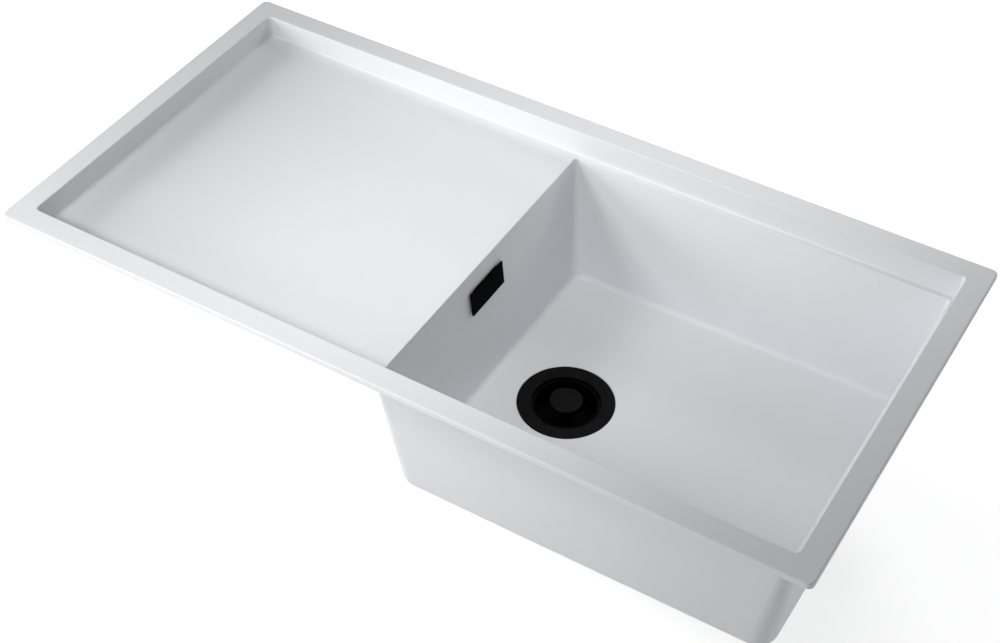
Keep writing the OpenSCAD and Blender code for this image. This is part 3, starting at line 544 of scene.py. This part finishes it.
def rect_loop(w, h, r, inset, z, steps=PLATE_STEPS):
    """Loop of a round-cornered rectangle about the Z axis."""
    radius = max(r - inset, PLATE_LEAST_R)
    points = []
    for k, (sx, sy) in enumerate(((1, 1), (-1, 1), (-1, -1), (1, -1))):
        for i in range(steps + 1):
            a = math.radians(90.0 * (k + i / steps))
            x = sx * (w / 2 - inset - radius) + radius * math.cos(a)
            y = sy * (h / 2 - inset - radius) + radius * math.sin(a)
            points.append((x, y, z))
    return points


def slab(name, w, h, r, z0, z1, edge=0.0):
    """Round-cornered plate from z0 to z1 whose top and bottom edges are rounded."""
    if edge == 0:
        return loft(name, [rect_loop(w, h, r, 0, z) for z in (z0, z1)])
    low = [(edge * (1 - math.sin(a)), z0 + edge * (1 - math.cos(a))) for a in turns(EDGE_STEPS)]
    high = [(inset, z0 + z1 - z) for (inset, z) in reversed(low)]
    return loft(name, [rect_loop(w, h, r, inset, z) for (inset, z) in low + high])


def threaded(name, r, z0, z1, sides=THREAD_SIDES):
    """Bar along Z with a thread cut into it."""
    rows = int((z1 - z0) / THREAD_PITCH * THREAD_ROWS)
    loops = []
    for k in range(rows + 1):
        z = z0 + (z1 - z0) * k / rows
        fade = min(1.0, THREAD_START * k / rows, THREAD_FINISH * (rows - k) / rows)
        points = []
        for i in range(sides):
            wave = 0.5 + 0.5 * math.cos(2 * math.pi * ((z - z0) / THREAD_PITCH - i / sides))
            radius = r - THREAD_DEPTH * (fade * wave ** THREAD_SHAPE + 1 - fade)
            a = 2 * math.pi * i / sides
            points.append((radius * math.cos(a), radius * math.sin(a), z))
        loops.append(points)
    return loft(name, loops)


# Places: the drain, the bowl's left wall, and plates that lie on that wall
DRAIN = Matrix.Translation((DRAIN_X, MIDDLE, BOWL_FLOOR))
WALL_PLACE = Matrix.Translation((BOWL_LEFT + wall_inset(COVER_Z), MIDDLE, COVER_Z))
WALL_PLACE = WALL_PLACE @ Matrix.Rotation(-DRAFT, 4, "Y")
PLATE = WALL_PLACE @ Matrix(((0, 0, 1, 0), (1, 0, 0, 0), (0, 1, 0, 0), (0, 0, 0, 1)))


def clip_place(clip):
    inset, share, facing = clip
    if facing in (0, 180):
        x = RIGHT - inset if facing == 0 else LEFT + inset
        y = FRONT + share * (BACK - FRONT)
    else:
        run = TRAY_RUN if inset == TRAY_INSET else (BOWL_LEFT, BOWL_RIGHT)
        x = run[0] + share * (run[1] - run[0])
        y = BACK - inset if facing == 90 else FRONT + inset
    return Matrix.Translation((x, y, 0)) @ Matrix.Rotation(math.radians(facing + 90), 4, "Z")


# Materials
def new_material(name):
    material = bpy.data.materials.new(name)
    material.use_nodes = True
    return material, material.node_tree.nodes, material.node_tree.links


BLOTCH_DETAIL, GRAIN_DETAIL, NOISE_ROUGHNESS, GLOSS_FINER = 3.0, 2.0, 0.55, 3.0


def noise(nodes, links, coords, scale, detail=BLOTCH_DETAIL):
    node = nodes.new("ShaderNodeTexNoise")
    node.inputs["Scale"].default_value = scale
    node.inputs["Detail"].default_value = detail
    node.inputs["Roughness"].default_value = NOISE_ROUGHNESS
    links.new(coords, node.inputs["Vector"])
    return node.outputs["Fac"]


def spread(nodes, links, value, low, high, start=0.3, end=0.7):
    """Maps a value from start to end onto the range low to high."""
    node = nodes.new("ShaderNodeMapRange")
    node.inputs["From Min"].default_value = start
    node.inputs["From Max"].default_value = end
    node.inputs["To Min"].default_value = low
    node.inputs["To Max"].default_value = high
    links.new(value, node.inputs["Value"])
    return node.outputs["Result"]


def surface(name, colour, roughness, metallic=0.0, specular=0.5, shade=0.05, blotch=40.0,
            grain=1500.0, bump=0.00001, rough_change=0.06, stretch=None, speckle=0.0):
    """Moulded, cast or metal surface: uneven colour and gloss, a fine grain, and speckles."""
    material, nodes, links = new_material(name)
    shader = nodes["Principled BSDF"]
    shader.inputs["Metallic"].default_value = metallic
    shader.inputs["Specular IOR Level"].default_value = specular
    coords = nodes.new("ShaderNodeTexCoord").outputs["Object"]
    if stretch:
        mapping = nodes.new("ShaderNodeMapping")
        mapping.inputs["Scale"].default_value = stretch
        links.new(coords, mapping.inputs["Vector"])
        coords = mapping.outputs["Vector"]
    patches = spread(nodes, links, noise(nodes, links, coords, blotch), 1 - shade, 1 + shade)
    fine = noise(nodes, links, coords, grain, GRAIN_DETAIL)
    if speckle:
        dots = spread(nodes, links, fine, 1 - speckle, 1 + speckle)
        product = nodes.new("ShaderNodeMath")
        product.operation = "MULTIPLY"
        links.new(patches, product.inputs[0])
        links.new(dots, product.inputs[1])
        patches = product.outputs["Value"]
    tint = nodes.new("ShaderNodeVectorMath")
    tint.operation = "SCALE"
    tint.inputs[0].default_value = colour
    links.new(patches, tint.inputs["Scale"])
    links.new(tint.outputs["Vector"], shader.inputs["Base Color"])
    uneven = noise(nodes, links, coords, blotch * GLOSS_FINER)
    gloss = spread(nodes, links, uneven, roughness - rough_change, roughness + rough_change)
    links.new(gloss, shader.inputs["Roughness"])
    relief = nodes.new("ShaderNodeBump")
    relief.inputs["Distance"].default_value = bump
    links.new(fine, relief.inputs["Height"])
    links.new(relief.outputs["Normal"], shader.inputs["Normal"])
    return material


COMPOSITE = surface("composite", (0.787, 0.797, 0.819), 0.6, specular=0.35, shade=0.006,
                    blotch=12.0, grain=900.0, bump=0.000012, rough_change=0.03, speckle=0.012)
BLACK_METAL = surface("black_metal", (0.0007, 0.0007, 0.0009), 0.38, specular=0.07, shade=0.15,
                      blotch=60.0, grain=2600.0, bump=0.000006)
# The basket's metal is the black metal made darker and less glossy: painted shade for the shade down
# in the drain
BASKET_METAL_PAINTED_SHADE = surface("basket_metal_painted_shade", (0.0005, 0.0005, 0.0006), 0.42, specular=0.022, shade=0.15,
                       blotch=60.0, grain=2600.0, bump=0.000006)
BLACK_PLASTIC = surface("black_plastic", (0.0006, 0.0006, 0.0009), 0.36, specular=0.006, shade=0.12,
                        blotch=90.0, grain=3200.0, bump=0.000006)
DARK_PLASTIC = surface("dark_plastic", (0.022, 0.022, 0.024), 0.5, specular=0.4, shade=0.12,
                       blotch=50.0, grain=1800.0, bump=0.00002)
GREY_PLASTIC = surface("grey_plastic", (0.33, 0.34, 0.355), 0.42, shade=0.05, blotch=60.0,
                       grain=1600.0, bump=0.000012)
SEAL_RUBBER = surface("seal_rubber", (0.028, 0.028, 0.028), 0.75, specular=0.3, shade=0.2,
                      blotch=120.0, grain=2200.0, bump=0.00003)
FOAM = surface("foam", (0.035, 0.036, 0.038), 0.95, specular=0.1, shade=0.3, blotch=400.0,
               grain=1900.0, bump=0.0002, speckle=0.35)
STEEL = surface("steel", (0.62, 0.62, 0.6), 0.32, metallic=1.0, shade=0.08, blotch=80.0,
                grain=900.0, bump=0.00001, rough_change=0.1, stretch=(1.0, 1.0, 6.0))
BRASS = surface("brass", (0.74, 0.53, 0.24), 0.3, metallic=1.0, shade=0.08, blotch=120.0,
                grain=1200.0, bump=0.000008, rough_change=0.08)


# Sink: the casting, with its bosses, pad, slot and holes
def make_sink():
    obj = outside()
    pad_low = PAD_Z - BOWL_FLOOR
    pad = lathe("pad", [(0, pad_low, 0), (PAD_R, pad_low, PAD_EDGE), (PAD_R, pad_low + WALL, 0),
                        (0, pad_low + WALL, 0)])
    others = [bowl_outside(), place(pad, DRAIN)]
    holes = []
    for clip in CLIPS:
        where = clip_place(clip)
        if clip[0] == TRAY_INSET:
            boss = bar("boss", TRAY_BOSS_R, BOSS_LOW, TRAY_BOSS_TOP, PIPE_SIDES, BOSS_EDGE)
            others.append(place(boss, where))
        else:
            boss = bar("boss", BOSS_R, BOSS_LOW, BOSS_TOP, PIPE_SIDES, BOSS_EDGE)
            others.append(place(boss, where))
            half = BOSS_WEB_T / 2
            web = box_between("web", -half, half, 0, BOSS_WEB_L, BOSS_LOW + BOSS_WEB_IN,
                              BOSS_TOP - BOSS_WEB_IN)
            others.append(place(web, where))
        depth = BOSS_LOW + INSERT_DEPTH
        holes.append(place(bar("hole", INSERT_R, BOSS_LOW - OVERRUN, depth), where))
    combine(obj, others, "UNION")
    slot = slab("slot", SLOT_W, SLOT_H, SLOT_R, -WALL - 2 * OVERRUN, OVERRUN)
    combine(obj, [hollow(), place(slot, PLATE)] + holes, "DIFFERENCE")
    return finish_piece(obj, "sink", COMPOSITE, ["sink_body"])


# Foam strip under the rim
def make_rim_seal():
    far = SEAL_INSET + SEAL_W
    outline = soften([(SEAL_INSET, 0, SEAL_LOW_EDGE), (SEAL_INSET, SEAL_T, SEAL_TOP_EDGE),
                      (far, SEAL_T, SEAL_TOP_EDGE), (far, 0, SEAL_LOW_EDGE)])
    corner = RIM_CORNER - SEAL_INSET + SEAL_CORNER
    obj = ring("rim_seal_strip", [rim_loop(inset, z, corner) for (inset, z) in outline])
    return finish_piece(obj, "sink", FOAM, ["rim_seal"], SEAL_ANGLE)


# Drain
def make_flange():
    obj = lathe("drain_flange", FLANGE_OUTLINE)
    cuts = []
    for i in range(SLOT_COUNT):
        outline = sector(SLOT_IN, SLOT_OUT, i * 360.0 / SLOT_COUNT, SLOT_ANGLE)
        cuts.append(prism("slot", outline, *SLOT_CUT))
    combine(obj, cuts, "DIFFERENCE")
    return finish_piece(place(obj, DRAIN), "sink", BLACK_METAL, ["waste_flange"])


def make_basket():
    obj = lathe("basket", BASKET_OUTLINE)
    cuts = []
    for i in range(NOTCH_COUNT):
        start = NOTCH_START + i * 360.0 / NOTCH_COUNT
        cuts.append(prism("notch", sector(NOTCH_IN, NOTCH_OUT, start, NOTCH_ANGLE), *NOTCH_CUT))
    for k in range(HOLE_RINGS):
        r = HOLE_FIRST + k * HOLE_GAP
        count = int(2 * math.pi * r * HOLE_SHARE / HOLE_D)
        for i in range(count):
            a = 2 * math.pi * i / count
            outline = circle(HOLE_D / 2, HOLE_SIDES, r * math.cos(a), r * math.sin(a))
            cuts.append(prism("hole", outline, *HOLE_CUT))
    combine(obj, cuts, "DIFFERENCE")
    return finish_piece(place(obj, DRAIN), "basket", BASKET_METAL_PAINTED_SHADE,
                        ["strainer_basket"])


def round_piece(name, outline, body, material, node):
    obj = place(lathe(name, outline), DRAIN)
    return finish_piece(obj, body, material, [node])


# Waste body: housing with gussets, hub on ribs, side port and threaded outlet
def make_waste_body():
    obj = lathe("waste_housing", BODY_OUTLINE)
    port = Matrix.Translation((0, 0, PORT_Z - BOWL_FLOOR)) @ Matrix.Rotation(-math.pi / 2, 4, "Y")
    spigot = threaded("port", SPIGOT_R, BODY_R - PORT_ROOT, BODY_R + SPIGOT_L, PIPE_SIDES)
    others = [threaded("outlet", OUTLET_R, OUTLET_END, OUTLET_TOP), place(spigot, port)]
    for i in range(GUSSET_COUNT):
        gusset = box_between("gusset", GUSSET_IN, GUSSET_OUT, -GUSSET_T / 2, GUSSET_T / 2,
                             GUSSET_LOW, GUSSET_TOP)
        turn = Matrix.Rotation(2 * math.pi * (i + 0.5) / GUSSET_COUNT, 4, "Z")
        others.append(place(gusset, turn))
    combine(obj, others, "UNION")
    combine(obj, [lathe("hollow", BODY_HOLLOW)], "DIFFERENCE")
    inside = [bar("hub", HUB_R, HUB_LOW, HUB_TOP, HUB_SIDES, HUB_EDGE)]
    for i in range(HUB_RIBS):
        rib = box_between("rib", HUB_RIB_IN, HUB_RIB_OUT, -HUB_RIB_T / 2, HUB_RIB_T / 2,
                          HUB_RIB_LOW, HUB_TOP - HUB_RIB_DROP)
        inside.append(place(rib, Matrix.Rotation(2 * math.pi * i / HUB_RIBS, 4, "Z")))
    combine(obj, inside, "UNION")
    bores = [
        bar("bore", HUB_BORE_R, HUB_LOW - OVERRUN, HUB_TOP + OVERRUN),
        prism("nut_seat", circle(HUB_NUT_R, NUT_SIDES), HUB_NUT_LOW, HUB_TOP + OVERRUN),
        place(bar("port_bore", SPIGOT_BORE, PORT_BORE_IN, BODY_R + SPIGOT_L + OVERRUN,
                  PIPE_SIDES), port),
    ]
    combine(obj, bores, "DIFFERENCE")
    return finish_piece(place(obj, DRAIN), "sink", DARK_PLASTIC, ["waste_body"])


# Overflow
def make_cover():
    obj = slab("overflow_plate", COVER_W, COVER_H, COVER_CORNER, COVER_BACK, COVER_FRONT, COVER_EDGE)
    pegs = []
    for v in (-PEG_V, PEG_V):
        peg = bar("peg", PEG_R, PEG_END, COVER_BACK + PEG_ROOT, PEG_SIDES, PEG_EDGE)
        pegs.append(place(peg, Matrix.Translation((v, PEG_W, 0))))
    combine(obj, pegs, "UNION")
    return finish_piece(place(obj, PLATE), "cover", BLACK_PLASTIC,
                        ["overflow_cover"])


def make_overflow_seal():
    w, h = SLOT_W + 2 * GASKET_W, SLOT_H + 2 * GASKET_W
    obj = slab("gasket", w, h, SLOT_R + GASKET_W, -WALL - GASKET_T, -WALL - GASKET_GAP,
               GASKET_EDGE)
    slot = slab("slot", SLOT_W, SLOT_H, SLOT_R, -WALL - 4 * OVERRUN, -WALL + 2 * OVERRUN)
    combine(obj, [slot], "DIFFERENCE")
    return finish_piece(place(obj, PLATE), "sink", SEAL_RUBBER, ["overflow_seal"])


def make_overflow_body():
    front = -WALL - GASKET_T
    back = front - BODY_DEPTH
    w, h = SLOT_W + 2 * BODY_SIDE, BODY_RISE + BODY_DROP
    lower = Matrix.Translation((0, (BODY_RISE - BODY_DROP) / 2, 0))
    obj = slab("overflow_housing", w, h, BODY_CORNER, back, front, BODY_EDGE)
    place(obj, lower)
    room = slab("room", w - 2 * BODY_WALL, h - 2 * BODY_WALL, ROOM_CORNER, back + BODY_WALL,
                front - BODY_WALL)
    spout = Matrix.Translation((0, -BODY_DROP, front - SPIGOT_IN))
    spout = spout @ Matrix.Rotation(math.pi / 2, 4, "X")
    spigot = threaded("spout", SPIGOT_R, -BODY_WALL, SPIGOT_L, PIPE_SIDES)
    combine(obj, [place(spigot, spout)], "UNION")
    mouth = slab("mouth", SLOT_W, SLOT_H, SLOT_R, front - BODY_WALL - OVERRUN, front + OVERRUN)
    bore = bar("bore", SPIGOT_BORE, -2 * BODY_WALL, SPIGOT_L + OVERRUN, PIPE_SIDES)
    combine(obj, [place(room, lower), mouth, place(bore, spout)], "DIFFERENCE")
    bosses = []
    for v in (-PEG_V, PEG_V):
        boss = bar("boss", BODY_BOSS_R, back + BODY_BOSS_IN, front - BODY_WALL)
        bosses.append(place(boss, Matrix.Translation((v, BODY_BOSS_W, 0))))
    combine(obj, bosses, "UNION")
    return finish_piece(place(obj, PLATE), "sink", DARK_PLASTIC, ["overflow_body"])


# Ribbed hose: down along the bowl, round the bend and level into the waste body
def make_hose():
    start = WALL_PLACE @ Vector((-WALL - GASKET_T - SPIGOT_IN, 0, -BODY_DROP - SPIGOT_L))
    fall = math.pi / 2 - DRAFT
    drop = (start.z - PORT_Z - HOSE_BEND * (1 - math.cos(fall))) / math.sin(fall)
    arc = HOSE_BEND * fall
    bend_x = start.x + drop * math.cos(fall) + HOSE_BEND * math.sin(fall)
    length = drop + arc + DRAIN_X - BODY_R - SPIGOT_L - bend_x

    def route(s):
        if s < drop:
            return start.x + s * math.cos(fall), start.z - s * math.sin(fall), -fall
        if s < drop + arc:
            a = -fall + (s - drop) / HOSE_BEND
            return bend_x + HOSE_BEND * math.sin(a), PORT_Z + HOSE_BEND * (1 - math.cos(a)), a
        return bend_x + s - drop - arc, PORT_Z, 0.0

    ribs = int((length - 2 * HOSE_CUFF) / RIB_PITCH)
    first = (length - ribs * RIB_PITCH) / 2
    rows = [(0.0, HOSE_R), (first * 0.5, HOSE_R)]
    for k in range(ribs * RIB_STEPS + 1):
        wave = 0.5 - 0.5 * math.cos(2 * math.pi * k / RIB_STEPS)
        rows.append((first + k * RIB_PITCH / RIB_STEPS, HOSE_R - RIB_DEPTH * wave ** RIB_SHAPE))
    rows += [(length - first * 0.5, HOSE_R), (length, HOSE_R)]
    rows += [(length * (1 - i / BORE_ROWS), HOSE_BORE) for i in range(BORE_ROWS + 1)]
    loops = []
    for s, r in rows:
        x, z, a = route(s)
        points = []
        for i in range(HOSE_SIDES):
            t = 2 * math.pi * i / HOSE_SIDES
            up, across = r * math.cos(t), r * math.sin(t)
            points.append((x - up * math.sin(a), MIDDLE + across, z + up * math.cos(a)))
        loops.append(points)
    obj = ring("overflow_tube", loops)
    finish_piece(obj, "sink", GREY_PLASTIC, ["overflow_hose"], HOSE_ANGLE)
    top = Matrix.Translation(start) @ Matrix.Rotation(math.pi / 2 + fall, 4, "Y")
    low_x = DRAIN_X - BODY_R - SPIGOT_L
    low = Matrix.Translation((low_x, MIDDLE, PORT_Z)) @ Matrix.Rotation(-math.pi / 2, 4, "Y")
    return top, low


# Clips
def make_clip(index, clip):
    heights = (0, 0, CLIP_DROP, CLIP_DROP, CLIP_TIP, CLIP_TIP)
    top = list(zip((0,) + CLIP_BENDS + (1.0,), heights))
    bends = (CLIP_BEND_R, CLIP_FOOT_R, CLIP_FOOT_R, CLIP_BEND_R)
    above = (0,) + bends + (CLIP_EDGE,)
    under = (CLIP_EDGE,) + bends + (0,)
    corners = [(CLIP_REACH * x, z, r) for (x, z), r in zip(top, above)]
    corners += [(CLIP_REACH * x, z - CLIP_T, r) for (x, z), r in zip(reversed(top), under)]
    obj = prism("clip_%d_strip" % index, soften(corners), -CLIP_W / 2, CLIP_W / 2)
    place(obj, Matrix.Rotation(math.pi / 2, 4, "X"))
    combine(obj, [bar("end", CLIP_W / 2, -CLIP_T, 0, PIPE_SIDES)], "UNION")
    combine(obj, [bar("hole", CLIP_HOLE, -CLIP_T - OVERRUN, OVERRUN)], "DIFFERENCE")
    bevel = obj.modifiers.new("bevel", "BEVEL")
    bevel.width = CLIP_BEVEL * MM
    bevel.segments = CLIP_BEVEL_STEPS
    bevel.limit_method = "ANGLE"
    bevel.angle_limit = math.radians(CLIP_BEVEL_ANGLE)
    apply_modifiers(obj)
    place(obj, clip_place(clip) @ Matrix.Translation((0, 0, CLIP_TOP)))
    return finish_piece(obj, "clip_%d" % index, STEEL, ["fixing_clip_%d" % index])


make_sink()
make_rim_seal()
make_flange()
make_basket()
# The knob has the gloss of the black metal beside it, in the slot of black plastic
round_piece("basket_button", KNOB_OUTLINE, "plug", BLACK_METAL, "basket_knob")
round_piece("stopper_disc", STOPPER_OUTLINE, "plug", SEAL_RUBBER, "stopper")
round_piece("flange_ring", FLANGE_SEAL_OUTLINE, "sink", SEAL_RUBBER, "flange_seal")
round_piece("body_ring", BODY_SEAL_OUTLINE, "sink", SEAL_RUBBER, "body_seal")
make_waste_body()
make_cover()
make_overflow_seal()
make_overflow_body()
hose_ends = make_hose()
washers = [place(lathe("washer", WASHER_OUTLINE, HUB_SIDES), end) for end in hose_ends]
finish_piece(combine(washers[0], washers[1:], "UNION"), "sink", SEAL_RUBBER,
             ["hose_washers"])
for index, clip in enumerate(CLIPS, 1):
    make_clip(index, clip)

# CAD nodes that stay, with their materials
KEPT = {
    "post_clip": STEEL,
    "clamp_screw": STEEL,
    "clamp_nut": BRASS,
    "overflow_frame": BLACK_PLASTIC,
    "overflow_screws": STEEL,
    "hose_nuts": DARK_PLASTIC,
    "fixing_inserts": BRASS,
    "fixing_screws": STEEL,
}
for name, material in KEPT.items():
    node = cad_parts[name]
    node.data.materials.clear()
    node.data.materials.append(material)


# Floor and world. Both show white to the camera and in reflections, and the floor keeps the
# soft shadow of the sink.
def shows(nodes, links):
    """1 for camera, glossy and transmission rays, and 0 for others."""
    path = nodes.new("ShaderNodeLightPath")
    total = path.outputs["Is Camera Ray"]
    for output in ("Is Glossy Ray", "Is Transmission Ray"):
        add = nodes.new("ShaderNodeMath")
        add.operation = "MAXIMUM"
        links.new(total, add.inputs[0])
        links.new(path.outputs[output], add.inputs[1])
        total = add.outputs["Value"]
    return total


# The floor's own light is LIFT_NEAR up to NEAR metres from its middle, and LIFT_FAR from FAR on
FLOOR_Z, FLOOR_HALF = -330.0, 12000.0
LIFT_NEAR, LIFT_FAR, NEAR, FAR = 0.55, 1.0, 0.5, 1.6
FLOOR_COLOUR, FLOOR_ROUGHNESS = (0.86, 0.86, 0.86, 1.0), 0.9
WHITE = (1.0, 1.0, 1.0, 1.0)
AMBIENT = 0.16

floor = mesh_object("floor", [(-FLOOR_HALF, -FLOOR_HALF, FLOOR_Z), (FLOOR_HALF, -FLOOR_HALF, FLOOR_Z),
                              (FLOOR_HALF, FLOOR_HALF, FLOOR_Z), (-FLOOR_HALF, FLOOR_HALF, FLOOR_Z)],
                    [(0, 1, 2, 3)])
material, nodes, links = new_material("floor")
nodes["Principled BSDF"].inputs["Base Color"].default_value = FLOOR_COLOUR
nodes["Principled BSDF"].inputs["Roughness"].default_value = FLOOR_ROUGHNESS
nodes["Principled BSDF"].inputs["Emission Color"].default_value = WHITE
lift = nodes.new("ShaderNodeMath")
lift.operation = "MULTIPLY"
distance = nodes.new("ShaderNodeVectorMath")
distance.operation = "LENGTH"
links.new(nodes.new("ShaderNodeTexCoord").outputs["Object"], distance.inputs[0])
rise = spread(nodes, links, distance.outputs["Value"], LIFT_NEAR, LIFT_FAR, NEAR, FAR)
links.new(rise, lift.inputs[0])
links.new(shows(nodes, links), lift.inputs[1])
links.new(lift.outputs["Value"], nodes["Principled BSDF"].inputs["Emission Strength"])
floor.data.materials.append(material)

world = bpy.data.worlds.new("world")
scene.world = world
world.use_nodes = True
nodes, links = world.node_tree.nodes, world.node_tree.links
background = nodes["Background"]
background.inputs["Color"].default_value = WHITE
level = nodes.new("ShaderNodeMapRange")
level.inputs["To Min"].default_value = AMBIENT
level.inputs["To Max"].default_value = 1.0
links.new(shows(nodes, links), level.inputs["Value"])
links.new(level.outputs["Result"], background.inputs["Strength"])
scene.view_settings.view_transform = "Standard"

# Soft lamps: name, place, the point that it faces, size and power in watts
LAMPS = [
    ("front_low", (-1500.0, -1700.0, 500.0), (0.0, 200.0, 0.0), 900.0, 18.6),
    ("left", (-2200.0, 200.0, 700.0), (0.0, 240.0, 0.0), 900.0, 16.7),
    ("near_left", (-500.0, -500.0, 600.0), (0.0, 200.0, 0.0), 300.0, 4.5),
    ("back", (300.0, 1000.0, 500.0), (100.0, 200.0, 0.0), 400.0, 2.1),
    ("right_low", (1900.0, 100.0, -150.0), (500.0, 240.0, -150.0), 300.0, 3.5),
]
# Soft spot on the middle of the sink, with its cone in degrees
SPOT_PLACE, SPOT_AIM, SPOT_CONE = (-50.0, -600.0, 1400.0), (0.0, 330.0, 0.0), 34.0
SPOT_SIZE, SPOT_POWER = 150.0, 45.4


def add_lamp(name, kind, power, spot, aim):
    data = bpy.data.lights.new(name, kind)
    data.energy = power
    lamp = make_object(name, data)
    lamp.location = Vector(spot) * MM
    lamp.rotation_euler = (Vector(spot) - Vector(aim)).to_track_quat("Z", "Y").to_euler()
    return data


for name, spot, aim, size, power in LAMPS:
    lamp = add_lamp(name, "AREA", power, spot, aim)
    lamp.shape = "DISK"
    lamp.size = size * MM
lamp = add_lamp("middle", "SPOT", SPOT_POWER, SPOT_PLACE, SPOT_AIM)
lamp.spot_size = math.radians(SPOT_CONE)
lamp.spot_blend = 1.0
lamp.shadow_soft_size = SPOT_SIZE * MM
